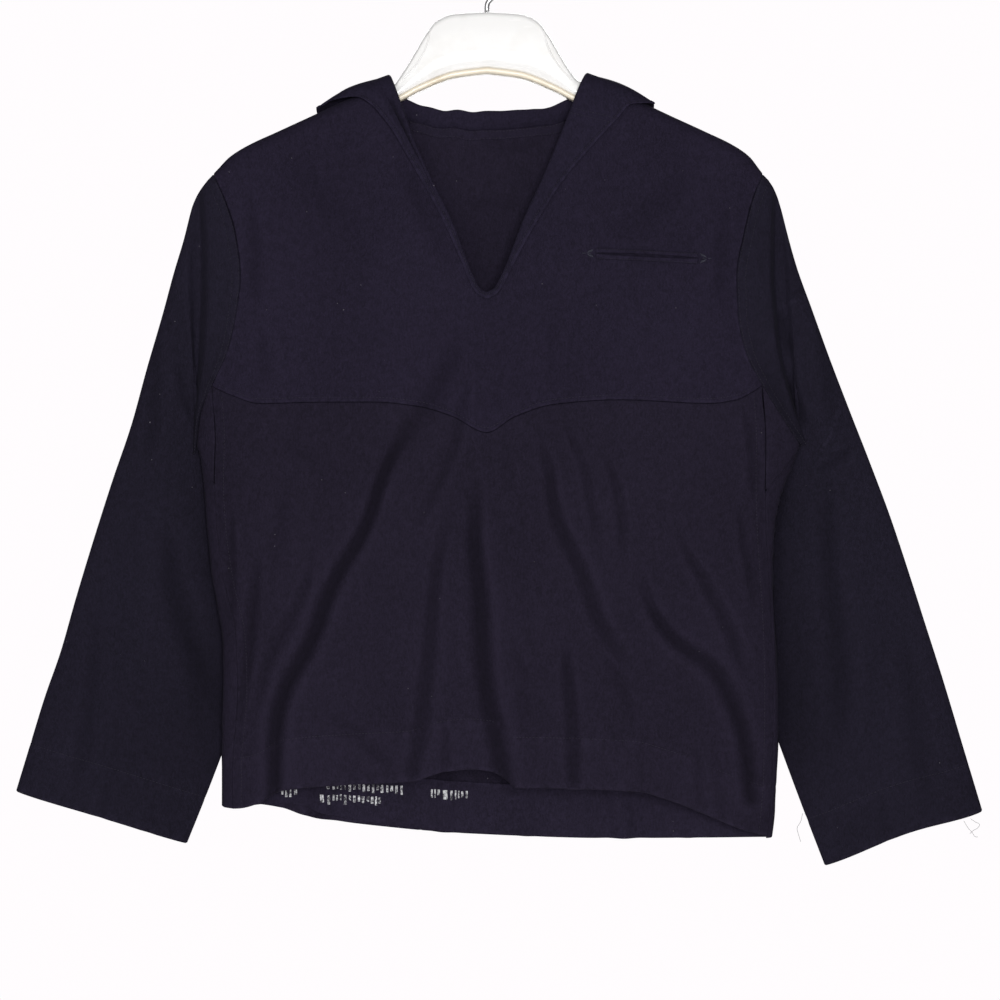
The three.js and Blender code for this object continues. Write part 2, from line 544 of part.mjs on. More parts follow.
function backPlace(j) {
  const half = BACK_COLUMNS / 2;
  const neckColumn = 7;
  const neckPlace = 0.3;
  if (j > half) return 1 - backPlace(BACK_COLUMNS - j);
  if (j <= neckColumn) return neckPlace * (j / neckColumn) ** 1.25;
  const t = (j - neckColumn) / (half - neckColumn);
  return mix(neckPlace, 0.5, 1 - cos((PI * t) / 2));
}
const backColumns = Array.from({ length: BACK_COLUMNS + 1 }, (_, j) => j);
function backRows() {
  const rows = [];
  for (const t of steps(BACK_YOKE_ROWS)) {
    const f = backDrop(t);
    const edgeZ = mix(SHOULDER_POINT_Z, UNDERARM.z, f);
    const inset = t === 1 ? 3 * HALF_GAP : HALF_GAP;
    const left = backEdge(edgeZ, 'left');
    const right = backEdge(edgeZ, 'right');
    rows.push(backColumns.map((j) => {
      if (j === 0) return seamVertex(armhole.left, edgeZ, BACK, inset);
      if (j === BACK_COLUMNS) return seamVertex(armhole.right, edgeZ, BACK, -inset);
      const m = mix(left, right, backPlace(j));
      let z = edgeZ;
      for (let pass = 0; pass < 5; pass += 1) {
        z = mix(backTop(middle(z) + halfWidth(z) * m), UNDERARM.z, f);
      }
      const vertex = backPoint(m, z);
      if (f === 0 && abs(vertex.p.x) > NECK_REACH) vertex.p.y = HALF_GAP;
      return vertex;
    }));
    if (f === 0) {
      rows[0][0].p.y = HALF_GAP;
      rows[0][BACK_COLUMNS].p.y = HALF_GAP;
    }
  }
  for (let i = GUSSET_TIP_ROW - 1; i <= FRONT_ROWS; i += 1) {
    const zLeft = edgeRow(i, 'left');
    const zRight = edgeRow(i, 'right');
    const isBelow = i >= GUSSET_TIP_ROW;
    rows.push(backColumns.map((j) => {
      if (j === 0 && isBelow) return seamVertex(sideSeam.left, zLeft, FRONT, -HALF_GAP);
      if (j === BACK_COLUMNS && isBelow) return seamVertex(sideSeam.right, zRight, FRONT, HALF_GAP);
      const place = backPlace(j);
      const foot = backHem(mix(-228, 251, place));
      const part = mix(
        (zLeft - UNDERARM.z) / (HEM_CORNER.left - UNDERARM.z),
        (zRight - UNDERARM.z) / (HEM_CORNER.right - UNDERARM.z),
        place,
      );
      const z = mix(UNDERARM.z, foot, part);
      return backPoint(mix(backEdge(zLeft, 'left'), backEdge(zRight, 'right'), place), z);
    }));
  }
  return rows;
}
function backPanel() {
  return wall(backRows(), { flip: true });
}

// Sleeve: rings from the armhole to the cuff, the cuff's hem turned up inside
function sleeve(side) {
  const key = side < 0 ? 'left' : 'right';
  const table = side < 0 ? SLEEVE_LEFT : SLEEVE_RIGHT;
  const front = steps(YOKE_ROWS).map((t) => mix(SHOULDER_POINT_Z, YOKE_CORNER.z, closeAtStart(t, cornerAngle)));
  const under = steps(GUSSET_ROWS).slice(1).map((t) => underarmZ(t));
  const back = steps(BACK_YOKE_ROWS).slice(1, -1).reverse()
    .map((t) => mix(SHOULDER_POINT_Z, UNDERARM.z, backDrop(t)));
  const ring = [
    ...[...front, ...under].map((z) => ({ z, face: FRONT })),
    ...back.map((z) => ({ z, face: BACK })),
  ].map((vertex) => {
    const angle = acos(1 - (2 * (SHOULDER_POINT_Z - vertex.z)) / (SHOULDER_POINT_Z - UNDERARM.z));
    return { ...vertex, angle: vertex.face === FRONT ? angle : 2 * PI - angle };
  });
  const rows = [ring.map(({ z, face }) => {
    const shift = 1.6 * HALF_GAP + 4 * HALF_GAP * smooth((UNDERARM.z + 12 - z) / 12);
    const vertex = seamVertex(armhole[key], z, face, side * shift);
    if (z === SHOULDER_POINT_Z) vertex.p.y = 0;
    return vertex;
  })];
  for (const section of table) {
    rows.push(ring.map(({ angle }) => ({ p: sleevePoint(section, angle, side) })));
  }
  const cuff = rows.length - 3;
  return wall(rows, { ring: true, flip: side > 0, thickness: (i) => (i >= cuff ? HEM_WALL : WALL) });
}
function sleevePoint(section, angle, side) {
  const t = (1 - cos(angle)) / 2;
  const isFront = sin(angle) >= 0;
  const reach = isFront ? -section.front * (1 - 0.45 * t ** 3) : section.back;
  const y = mix(section.midOut, section.midIn, t ** 1.3) + reach * abs(sin(angle)) ** 0.8;
  const key = side < 0 ? 'left' : 'right';
  const seamX = armhole[key](mix(SHOULDER_POINT_Z, UNDERARM.z, t));
  const straightX = mix(armhole[key](SHOULDER_POINT_Z), armhole[key](UNDERARM.z), t);
  return new THREE.Vector3(
    mix(section.outX, section.inX, t) + section.follow * (seamX - straightX),
    y,
    mix(section.outZ, section.inZ, t),
  );
}

// Sailor collar: a low stand at the neck seam, the roll, and the fall that lies over the shoulders
function collar() {
  const stations = [
    ...COLLAR_STATIONS.slice(1).reverse().map((s) => ({ s, side: -1 })),
    { s: 0, side: -1 },
    ...COLLAR_STATIONS.slice(1, -1).map((s) => ({ s, side: 1 })),
  ];
  stations.push({ s: 2, side: 1 });
  const inner = -WALL / 2;
  const rows = stations.map(({ s, side }) => {
    const neck = neckline(s, side);
    const seam = skin(neck.seam.x, neck.seam.y, neck.face);
    const ahead = neck.seam.clone().addScaledVector(neck.out, 2);
    const next = skin(ahead.x, min(ahead.y, shoulder(ahead.x)), neck.face);
    const out = next.p.clone().sub(seam.p).normalize();
    const place = (e, n) => seam.p.clone().addScaledVector(out, e).addScaledVector(seam.n, n);
    const height = standHeight(s);
    const points = [place(0, inner), place(-height * 0.55, inner)];
    for (const turn of [-90, -45, 0, 45, 90]) {
      const angle = (turn * PI) / 180;
      points.push(place(
        -height - FOLD_RADIUS * cos(angle),
        inner + FOLD_RADIUS + FOLD_RADIUS * sin(angle) + neck.lift * 0.5 * (turn + 90) / 180,
      ));
    }
    const width = neck.edge.clone().sub(neck.seam).length();
    for (const t of [0.02, 0.25, 0.5, 0.75, 1]) {
      const x = mix(neck.seam.x, neck.edge.x, t);
      const z = s === 1 ? shoulder(x) : mix(neck.seam.y, neck.edge.y, t);
      const over = neck.lift * (0.55 + 0.45 * sin(PI * min(t * 1.1, 1)));
      const rest = FALL_OFFSET - WALL / 2 + over * smooth(width / 12);
      points.push(skin(x, z, neck.face, rest).p);
    }
    return points.map((p) => ({ p }));
  });
  const outer = rows.map((row, i) => row.map((vertex, j) => {
    const n = rowNormal(rows, i, j);
    return { p: vertex.p.clone().addScaledVector(n, WALL / 2), n };
  }));
  return wall(outer);
}
function rowNormal(rows, i, j) {
  const before = rows[max(i - 1, 0)][j].p;
  const after = rows[min(i + 1, rows.length - 1)][j].p;
  const inside = rows[i][max(j - 1, 0)].p;
  const outside = rows[i][min(j + 1, rows[i].length - 1)].p;
  const along = after.clone().sub(before);
  return outside.clone().sub(inside).cross(along).normalize().negate();
}

// Tape over the neck seam, inside the back
function neckTape() {
  const rows = [0.5, -0.5].map((v) => steps(14).map((u) => {
    const x = mix(-TAPE.half, TAPE.half, u);
    const z = backTop(x) + v * TAPE.height - 2;
    const vertex = skin(x, z, BACK, -(WALL + 2 * HALF_GAP));
    return vertex;
  }));
  return wall(rows, { flip: true, thickness: () => TAPE.thickness });
}

// Facing of the back hem, a strip inside the panel's two lowest rows
function hemFacing() {
  const rows = backRows().slice(-3).map((row, i) => row.slice(2, -2).map(({ p, n }) => {
    const moved = p.clone().addScaledVector(n, -(WALL + 2 * HALF_GAP));
    if (i === 2) moved.z += FACING.raise;
    return { p: moved, n };
  }));
  return wall(rows, { flip: true, thickness: () => FACING.thickness });
}

// One band of the breast pocket, above or below the slit
function welt(isUpper) {
  const rows = [1, 0].map((v) => steps(8).map((u) => {
    const x = mix(POCKET.left, POCKET.right, u);
    const slit = mix(POCKET.slitLeftZ, POCKET.slitRightZ, u);
    const z = isUpper
      ? slit + WELT.slit / 2 + WELT.height * v
      : slit - WELT.slit / 2 - WELT.lowerHeight * (1 - v);
    return skin(x, z, FRONT, WELT.offset);
  }));
  return wall(rows, { thickness: () => WELT.thickness });
}

// Hanger plate: a broad arch with sloping arms, thicker towards its ends
function hangerProfile(x) {
  const far = abs(x);
  const give = ARM_CLEARANCE + 2 * smooth((118 - far) / 15) + 14 * smooth((far - 192) / 44);
  const seat = shoulder(x) - WALL - give;
  return { top: max(hangerTop(far), seat), bottom: hangerBottom(far), half: hangerHalf(far) };
}
function hangerBody() {
  const rings = steps(44).map((u) => {
    const x = mix(-HANGER_REACH, HANGER_REACH, u);
    const { top, bottom, half } = hangerProfile(x);
    const round = min(half, (top - bottom) * 0.6);
    const outline = [
      [half, bottom + 1.5], [half, top - round], [half * 0.71, top - round * 0.29], [0, top],
      [-half * 0.71, top - round * 0.29], [-half, top - round], [-half, bottom + 1.5],
      [1.5 - half, bottom], [half - 1.5, bottom],
    ];
    return outline.map(([y, z]) => new THREE.Vector3(x, y, z));
  });
  return loft(rings);
}
function hangerRim() {
  const rings = steps(20).map((u) => {
    const x = mix(-RIM.reach, RIM.reach, u);
    const { bottom, half } = hangerProfile(x);
    const wide = half + RIM.extra;
    const top = bottom - 2 * HALF_GAP;
    const foot = top - RIM.height;
    const outline = [
      [wide, foot + 1.5], [wide, top - 1], [wide - 1, top], [1 - wide, top],
      [-wide, top - 1], [-wide, foot + 1.5], [1.5 - wide, foot], [wide - 1.5, foot],
    ];
    return outline.map(([y, z]) => new THREE.Vector3(x, y, z));
  });
  return loft(rings);
}

// Steel hook: a shank that sways out and turns over the rail
function hangerHook() {
  const radius = HOOK.bend + HOOK.wire / 2;
  const centre = new THREE.Vector2(0, -HOOK.bend);
  const points = [new THREE.Vector3(0, 0, HOOK.shankBottom), new THREE.Vector3(0, 0, HOOK.shankTop - 2)];
  for (const degrees of [-52, -22, 8, 38, 68, 98, 128, 158, 186]) {
    const angle = (degrees * PI) / 180;
    points.push(new THREE.Vector3(centre.x + radius * cos(angle), 0, centre.y + radius * sin(angle)));
  }
  const path = new THREE.CatmullRomCurve3(points, false, 'centripetal');
  const section = new THREE.Shape();
  for (let i = 0; i < HOOK.sides; i += 1) {
    const angle = (2 * PI * i) / HOOK.sides;
    const x = (HOOK.wire / 2) * cos(angle);
    const y = (HOOK.wire / 2) * sin(angle);
    if (i === 0) section.moveTo(x, y);
    else section.lineTo(x, y);
  }
  section.closePath();
  return new THREE.ExtrudeGeometry(section, { steps: HOOK.steps, extrudePath: path });
}

const wool = (colour) => new THREE.MeshStandardMaterial({ color: colour, roughness: 0.95, metalness: 0 });
const BODY_WOOL = wool(0x22202c);
const YOKE_WOOL = wool(0x252130);
const SLEEVE_WOOL = wool(0x201e28);
const COLLAR_WOOL = wool(0x24212e);
const INSIDE_WOOL = wool(0x211e29);
const WHITE_PLASTIC = new THREE.MeshStandardMaterial({ color: 0xf4f2ee, roughness: 0.25, metalness: 0 });
const CREAM_PLASTIC = new THREE.MeshStandardMaterial({ color: 0xe8d9bd, roughness: 0.35, metalness: 0 });
const STEEL = new THREE.MeshStandardMaterial({ color: 0xb9bcc0, roughness: 0.3, metalness: 1 });

const group = new THREE.Group();
function add(name, geometry, material) {
  const mesh = new THREE.Mesh(geometry, material);
  mesh.name = name;
  group.add(mesh);
}
add('hanger_body', hangerBody(), WHITE_PLASTIC);
add('hanger_rim', hangerRim(), CREAM_PLASTIC);
add('hanger_hook', hangerHook(), STEEL);
add('front_yoke', frontYoke(), YOKE_WOOL);
add('front_panel', frontPanel(), BODY_WOOL);
add('back_panel', backPanel(), BODY_WOOL);
add('gusset_left', gusset(-1), BODY_WOOL);
add('gusset_right', gusset(1), BODY_WOOL);
add('sleeve_left', sleeve(-1), SLEEVE_WOOL);
add('sleeve_right', sleeve(1), SLEEVE_WOOL);
add('sailor_collar', collar(), COLLAR_WOOL);
add('neck_tape', neckTape(), INSIDE_WOOL);
add('hem_facing', hemFacing(), INSIDE_WOOL);
add('welt_upper', welt(true), YOKE_WOOL);
add('welt_lower', welt(false), YOKE_WOOL);

export default group;
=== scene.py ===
import bpy
import numpy as np
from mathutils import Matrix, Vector


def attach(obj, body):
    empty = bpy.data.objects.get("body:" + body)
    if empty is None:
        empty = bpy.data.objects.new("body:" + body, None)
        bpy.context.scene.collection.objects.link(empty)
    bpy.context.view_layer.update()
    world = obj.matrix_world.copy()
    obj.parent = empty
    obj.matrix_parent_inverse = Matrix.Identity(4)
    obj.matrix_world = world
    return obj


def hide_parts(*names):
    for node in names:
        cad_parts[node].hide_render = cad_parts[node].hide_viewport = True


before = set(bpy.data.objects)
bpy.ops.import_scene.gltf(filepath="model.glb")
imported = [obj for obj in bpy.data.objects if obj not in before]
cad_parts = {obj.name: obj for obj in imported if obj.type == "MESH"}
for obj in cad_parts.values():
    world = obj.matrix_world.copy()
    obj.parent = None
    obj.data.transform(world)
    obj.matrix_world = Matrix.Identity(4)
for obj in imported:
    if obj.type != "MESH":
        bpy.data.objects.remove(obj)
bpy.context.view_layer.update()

MM = 0.001
BODY_NAME = "root"
FRONT, BACK = -1, 1
LEFT, RIGHT = -1, 1
SIDE_NAME = {LEFT: "left", RIGHT: "right"}
SEED = 1944

# Cloth
WALL = 1.8
HEM_WALL = 3.0
HEM_DEPTH = 45
BACK_HEM_WALL = 2.4
HALF_GAP = 0.15
LIP = 0.8
LIP_PINCH = 0.32
STITCH_RADIUS = 0.17
STITCH_PITCH = 3.0
STITCH_SHARE = 0.74
YOKE_STITCH = 4.2
SIDE_STITCH = {"far": 8.5, "near": 1.8}
ARMHOLE_STITCH = {"far": 8.0, "near": 1.4}
COLLAR_STITCH = 3.6
# Fold heights in mm at which the painted highlight on ridges and the painted shade in troughs are full
CREST_FULL = 3.0
CREASE_FULL = 5.0


def table(columns, *rows):
    """Rows of numbers as dicts with named columns."""
    names = columns.split()
    return [dict(zip(names, row)) for row in rows]


# Body sections: edges of the outline, how far front and back stand off, how square the side is
BODY = table(
    "z left right front back blunt",
    (-99, -261, 268, 16, 15, 6), (-207, -261, 268, 21, 15, 5), (-297, -262, 271, 27, 14, 3.8),
    (-387, -261, 276, 32, 13, 3), (-446, -260, 281, 33, 12, 2.7), (-464, -258, 276, 33, 12, 2.6),
    (-480, -256, 269, 33, 12, 2.6), (-519, -253, 260, 33, 12, 2.6), (-564, -248, 258, 33, 12, 2.6),
    (-630, -238, 261, 33, 12, 2.6), (-702, -239, 263, 34, 13, 2.6), (-772, -239, 260, 35, 15, 2.6),
    (-802, -239, 257, 35, 15, 2.6),
)
SHOULDER = table(
    "x z", (-256, -214), (-246, -202), (-231, -186), (-213, -175), (-189, -164), (-165, -153),
    (-87, -118), (0, -92), (87, -115), (173, -153), (197, -164), (220, -175), (236, -186),
    (248, -202), (258, -215),
)
ARMHOLE = table(
    "z left right", (-202, -246, 248), (-225, -235, 238), (-256, -225, 230), (-295, -220, 223),
    (-330, -224, 224), (-360, -231, 230), (-393, -246, 246), (-418, -256, 262), (-446, -260, 281),
)
YOKE_SEAM = table(
    "x z", (-256, -386), (-246, -393), (-229, -401), (-202, -409), (-148, -408), (-103, -408),
    (-60, -412), (-30, -421), (0, -435), (25, -421), (60, -410), (117, -406), (198, -409),
    (221, -406), (246, -393), (256, -386),
)
SIDE_SEAM = table(
    "z left right", (-393, -246, 246), (-441, -243, 249), (-476, -244, 249), (-519, -242, 250),
    (-564, -236, 253), (-615, -225, 256), (-666, -223, 257), (-738, -228, 256), (-802, -228, 251),
)
FRONT_HEM = table(
    "x z", (-240, -772), (-222, -771), (-202, -765), (-183, -754), (-123, -748), (-70, -745),
    (-38, -736), (-15, -734), (3, -736), (25, -750), (66, -751), (130, -754), (160, -762),
    (195, -776), (232, -791), (257, -798),
)
BACK_HEM = table(
    "x z", (-240, -772), (-222, -771), (-195, -769), (-168, -773), (-150, -780), (-86, -790),
    (-10, -797), (102, -801), (192, -800), (257, -798),
)
SHOULDER_POINT_Z, UNDERARM_Z, YOKE_CORNER_Z = -202, -446, -393
YOKE_CORNER = {LEFT: -246, RIGHT: 246}
HEM_CORNER = {LEFT: -772, RIGHT: -798}
BACK_FOOT = (-228, 251)
GUSSET_SHARE = 4 / 17

# Collar: the roll line at the neck and the outer edge, from the point of the V up to the shoulder
COLLAR_FRONT = {
    LEFT: table(
        "s rollX rollZ edgeX edgeZ lift",
        (0, 0, -310, 0, -316.5, 0), (0.03, -6, -307, -8, -312.5, 0), (0.07, -10.5, -299, -14.5, -303, 0),
        (0.16, -17, -283, -21.5, -286, 0), (0.3, -31, -246, -37, -250, 0), (0.5, -51, -204, -58, -210, 1),
        (0.68, -65, -172, -75, -181, 3), (0.84, -75, -144, -92, -155, 6), (0.93, -81, -128, -115, -137, 8),
        (1, -85, -117, -152, -147, 6),
    ),
    RIGHT: table(
        "s rollX rollZ edgeX edgeZ lift",
        (0, 0, -310, 0, -316.5, 0), (0.03, 6, -307, 8, -312.5, 0), (0.07, 11, -299, 15, -303, 0),
        (0.16, 18, -283, 23.5, -286, 0), (0.3, 32, -246, 43, -250, 0), (0.5, 51, -204, 69, -209, 0),
        (0.68, 64, -172, 93, -180, 1), (0.84, 75, -144, 117, -154, 2), (0.93, 81, -128, 130, -142, 4),
        (1, 87, -115, 149, -143, 5),
    ),
}
# The same lines from the shoulder round to the middle of the back flap, for either side
COLLAR_BACK = table(
    "s roll rollZ edge edgeZ", (1.15, 80, -127, 150, -190), (1.3, 69, -134, 149, -262),
    (1.5, 51, -140, 148, -376), (1.75, 26, -143, 74, -379), (2, 0, -144, 0, -380),
)
STAND_HEIGHT = table("s h", (0, 0.5), (0.5, 1), (1, 10), (1.4, 15), (2, 16))
FOLD_RADIUS = 1.25
FALL_OFFSET = 2.5
SEAM_SLACK = 1.8
NECK_REACH = 98

# Sleeve sections from the armhole to the cuff
SECTION = "outX outZ inX inZ follow front back midOut midIn"
SLEEVE = {
    LEFT: table(
        SECTION,
        (-251, -207, -262, -451, 0.75, 18, 12, 0, 0), (-255, -212, -264, -454, 0.35, 16, 12, 0, 2),
        (-260, -219, -265, -456, 0.12, 4, 13, 1, 4), (-265, -230, -263, -459, 0.03, 7, 13, 1, 8),
        (-273, -261, -257, -465, 0, 13, 13, 1, 13), (-282, -291, -249, -475, 0, 13, 13, 1, 20),
        (-292, -328, -241, -489, 0, 13, 13, 1, 25), (-306, -376, -234, -510, 0, 13, 12, 1, 27),
        (-320, -427, -229, -535, 0, 13, 12, 1, 28), (-337, -477, -222, -570, 0, 13, 12, 1, 28),
        (-353, -527, -218, -606, 0, 13, 12, 1, 28), (-370, -583, -220, -647, 0, 13, 12, 1, 27),
        (-384, -632, -228, -688, 0, 12, 12, 1, 24), (-398, -672, -240, -724, 0, 12, 12, 1, 18),
        (-410, -711, -254, -762, 0, 12, 12, 1, 11), (-424, -757, -271, -805, 0, 12, 12, 1, 7),
    ),
    RIGHT: table(
        SECTION,
        (253, -207, 287, -447, 0.75, 18, 12, 0, 0), (257, -213, 289, -449, 0.45, 16, 12, 0, 2),
        (261, -221, 289, -452, 0.3, 4, 13, 1, 4), (265, -234, 288, -456, 0.15, 7, 13, 1, 8),
        (271, -258, 284, -462, 0.04, 13, 13, 1, 13), (279, -286, 278, -470, 0, 13, 13, 1, 20),
        (292, -322, 268, -483, 0, 13, 13, 1, 25), (309, -369, 256, -503, 0, 13, 12, 1, 27),
        (327, -416, 247, -532, 0, 13, 12, 1, 28), (345, -462, 241, -567, 0, 13, 12, 1, 28),
        (363, -510, 239, -603, 0, 13, 12, 1, 28), (380, -561, 243, -642, 0, 13, 12, 1, 27),
        (395, -608, 253, -682, 0, 12, 12, 1, 24), (410, -655, 267, -722, 0, 12, 12, 1, 18),
        (428, -715, 285, -772, 0, 12, 12, 1, 11), (446, -775, 305, -825, 0, 12, 12, 1, 7),
    ),
}

POCKET = {"left": 97, "right": 188, "slit_left": -275.5, "slit_right": -279.5}
WELT = {"height": 4.2, "lower": 5, "slit": 0.9, "gape": 1.8, "thick": 1.2, "offset": 1.5}
TACK = {
    "from_slit": 1.5, "stem": 13, "wide": 6.2, "narrow": 0.8, "length": 7.5, "slant": 3.0, "proud": 0.7,
}
TAPE = {"half": 70, "height": 9, "thick": 0.5}
STAY = {"half": 8, "clear": 0.3, "thick": 0.8}
FACING = {"raise": 0.6, "thick": 1.1, "height": 46}

# Hanger: crown and lower edge of its plate for one side, and half its thickness
HANGER = table(
    "x top bottom half", (0, -56, -106, 5.5), (30, -58, -110, 5.6), (45, -64, -115, 5.7),
    (54, -75, -119, 5.8), (63, -90, -123, 5.8), (72, -105, -128, 5.8), (80, -117, -132, 5.4),
    (100, -150, -144, 5), (150, -190, -174, 7.6), (200, -230, -200, 8), (222, -250, -211, 6.5),
    (236, -260, -214, 4),
)
HANGER_REACH = 236
RIM = {"reach": 104, "height": 5, "extra": 0.8}
HOOK = {"wire": 4.6, "bend": 20, "shank_top": -46, "shank_bottom": -55.7}
RIB_PATH = [(51, -74), (53, -84), (58, -96), (66, -108), (76, -118)]
RIB_RADIUS, RIB_PROUD = 0.7, 0.1

# Folds of the body: face, half width and depth in mm, how strongly the cloth swells on each side
# of the trough (at smaller x, at larger x), whether the lower end stays open to the hem, and the
# path from the top
FOLDS = [
    (FRONT, 9, 2.4, 0.2, 0.3, False, [
        (-15, -332), (-31, -370), (-50, -405), (-72, -436), (-86, -458), (-100, -500)]),
    (FRONT, 5.0, 5.4, 0.3, 0.35, True, [
        (-50, -405), (-72, -436), (-86, -458), (-96, -483), (-103, -508), (-115, -533), (-129, -554),
        (-143, -582), (-151, -608), (-162, -632), (-175, -652), (-183, -671), (-188, -690), (-190, -725),
        (-190, -760)]),
    (FRONT, 3.6, 1.7, 0.1, 0.8, False, [
        (-14, -350), (-19, -402), (-25, -433), (-32, -458), (-51, -497), (-66, -522), (-72, -540)]),
    (FRONT, 4.6, 3.0, 0.35, 0.4, True, [
        (-27, -490), (-41, -530), (-46, -563), (-49, -596), (-51, -632), (-56, -668), (-58, -698),
        (-66, -735)]),
    (FRONT, 6.0, 4.8, 0.15, 0.75, True, [
        (-10, -455), (-10, -497), (-12, -536), (-7, -569), (-5, -608), (-4, -641), (1, -674), (9, -707),
        (15, -745)]),
    (FRONT, 3.6, 2.4, 0.1, 0.5, False, [(-229, -495), (-229, -560), (-230, -630)]),
    (FRONT, 4.2, 2.4, 0.3, 0.4, False, [
        (-201, -525), (-206, -563), (-211, -605), (-215, -641), (-219, -674), (-224, -710)]),
    (FRONT, 7, 1.2, 0.2, 0.3, False, [(-183, -480), (-182, -519), (-195, -565)]),
    (FRONT, 4.0, 2.0, 0.3, 0.4, False, [
        (-154, -512), (-157, -552), (-165, -580), (-179, -608), (-193, -629), (-201, -652), (-209, -685),
        (-220, -712)]),
    (FRONT, 2.6, 1.8, 0.4, 0.5, True, [(-38, -688), (-36, -706), (-37, -738)]),
    (FRONT, 5, 1.3, 0.3, 0.2, False, [(-150, -684), (-115, -700), (-86, -732)]),
    (FRONT, 3, 1.0, 0.3, 0.3, False, [(-112, -710), (-97, -722), (-82, -732)]),
    (FRONT, 5, 1.3, 0.2, 0.3, False, [(-202, -335), (-200, -365), (-198, -398)]),
    (FRONT, 4.6, 3.4, 0.2, 0.6, False, [
        (38, -418), (47, -441), (55, -463), (58, -491), (62, -513), (72, -533), (83, -555), (91, -577),
        (97, -599), (108, -616), (119, -635), (132, -660)]),
    (FRONT, 3.0, 1.8, 0.5, 0.2, False, [
        (66, -412), (77, -444), (87, -466), (92, -494), (98, -522), (103, -552)]),
    (FRONT, 3.2, 2.2, 0.2, 0.5, False, [(102, -444), (113, -475), (119, -497), (121, -530), (122, -556)]),
    (FRONT, 5.0, 4.0, 0.4, 0.35, True, [
        (128, -540), (135, -560), (146, -591), (160, -613), (180, -629), (199, -640), (213, -660),
        (224, -685), (232, -712), (237, -760)]),
    (FRONT, 4.2, 2.6, 0.3, 0.4, False, [
        (166, -510), (180, -546), (193, -563), (207, -591), (221, -618), (229, -646), (237, -664)]),
    (FRONT, 3.4, 1.8, 0.3, 0.2, False, [(224, -490), (229, -530), (238, -563), (240, -600)]),
    (FRONT, 3.4, 1.8, 0.3, 0.2, False, [(229, -406), (238, -452), (241, -505)]),
    (FRONT, 4.2, 3.2, 0.3, 0.35, True, [(69, -610), (72, -654), (76, -690), (77, -745)]),
    (FRONT, 3.2, 0.9, 0.2, 0.2, False, [(14, -426), (18, -460), (19, -492)]),
    (FRONT, 4, 1.4, 0.2, 0.3, False, [(100, -624), (124, -668), (134, -694)]),
    (FRONT, 3.5, 1.0, 0.3, 0.3, False, [(28, -620), (33, -671), (34, -702)]),
    (FRONT, 3, 1.2, 0.3, 0.3, True, [(190, -708), (188, -735), (192, -778)]),
    (FRONT, 3, 0.9, 0.2, 0.3, True, [(205, -712), (206, -740), (212, -782)]),
    (FRONT, 3, 0.8, 0.2, 0.2, True, [(136, -706), (137, -730), (140, -758)]),
    (FRONT, 3, 1.0, 0.3, 0.1, False, [(58, -330), (58, -365), (60, -402)]),
    (FRONT, 8, 1.6, 0.3, 0.2, False, [(-84, -172), (-62, -222), (-43, -262), (-24, -296)]),
    (FRONT, 9, 1.3, 0.2, 0.3, False, [(190, -192), (156, -226), (118, -262)]),
    (FRONT, 5, 1.6, 0.3, 0.2, False, [(-216, -205), (-207, -262), (-210, -330)]),
    (FRONT, 5, 1.4, 0.2, 0.3, False, [(216, -215), (208, -270), (210, -335)]),
    (FRONT, 7, 0.7, 0.2, 0.2, False, [(-200, -425), (-170, -452), (-130, -470)]),
    (FRONT, 8, 1.0, 0.2, 0.2, False, [(-190, -178), (-150, -215), (-120, -262)]),
    (BACK, 6.5, 4.6, 0.3, 0.4, True, [(-92, -400), (-106, -470), (-112, -520), (-130, -640), (-152, -785)]),
    (BACK, 5, 3.2, 0.3, 0.3, True, [(-18, -420), (-26, -560), (-34, -680), (-40, -800)]),
    (BACK, 6, 4.4, 0.4, 0.3, True, [(66, -410), (80, -480), (86, -540), (104, -660), (124, -800)]),
    (BACK, 4.5, 2.2, 0.2, 0.3, False, [(176, -420), (192, -520), (200, -640)]),
    (BACK, 5, 2.2, 0.3, 0.2, False, [(-188, -410), (-200, -520), (-206, -620)]),
    (BACK, 4, 2.0, 0.3, 0.3, True, [(24, -600), (34, -700), (36, -800)]),
    (BACK, 4, 1.8, 0.3, 0.3, False, [(-70, -520), (-84, -600), (-90, -680)]),
    (BACK, 4, 1.6, 0.3, 0.3, True, [(168, -640), (178, -720), (182, -800)]),
    (BACK, 4, 1.2, 0.3, 0.3, False, [(-16, -172), (20, -177), (54, -170)]),
    (BACK, 5, 1.2, 0.3, 0.2, False, [(-28, -222), (4, -228), (36, -223)]),
    (BACK, 7, 1.6, 0.2, 0.3, False, [(190, -200), (150, -260), (130, -330)]),
    (BACK, 7, 1.6, 0.2, 0.3, False, [(-190, -200), (-150, -260), (-130, -330)]),
]
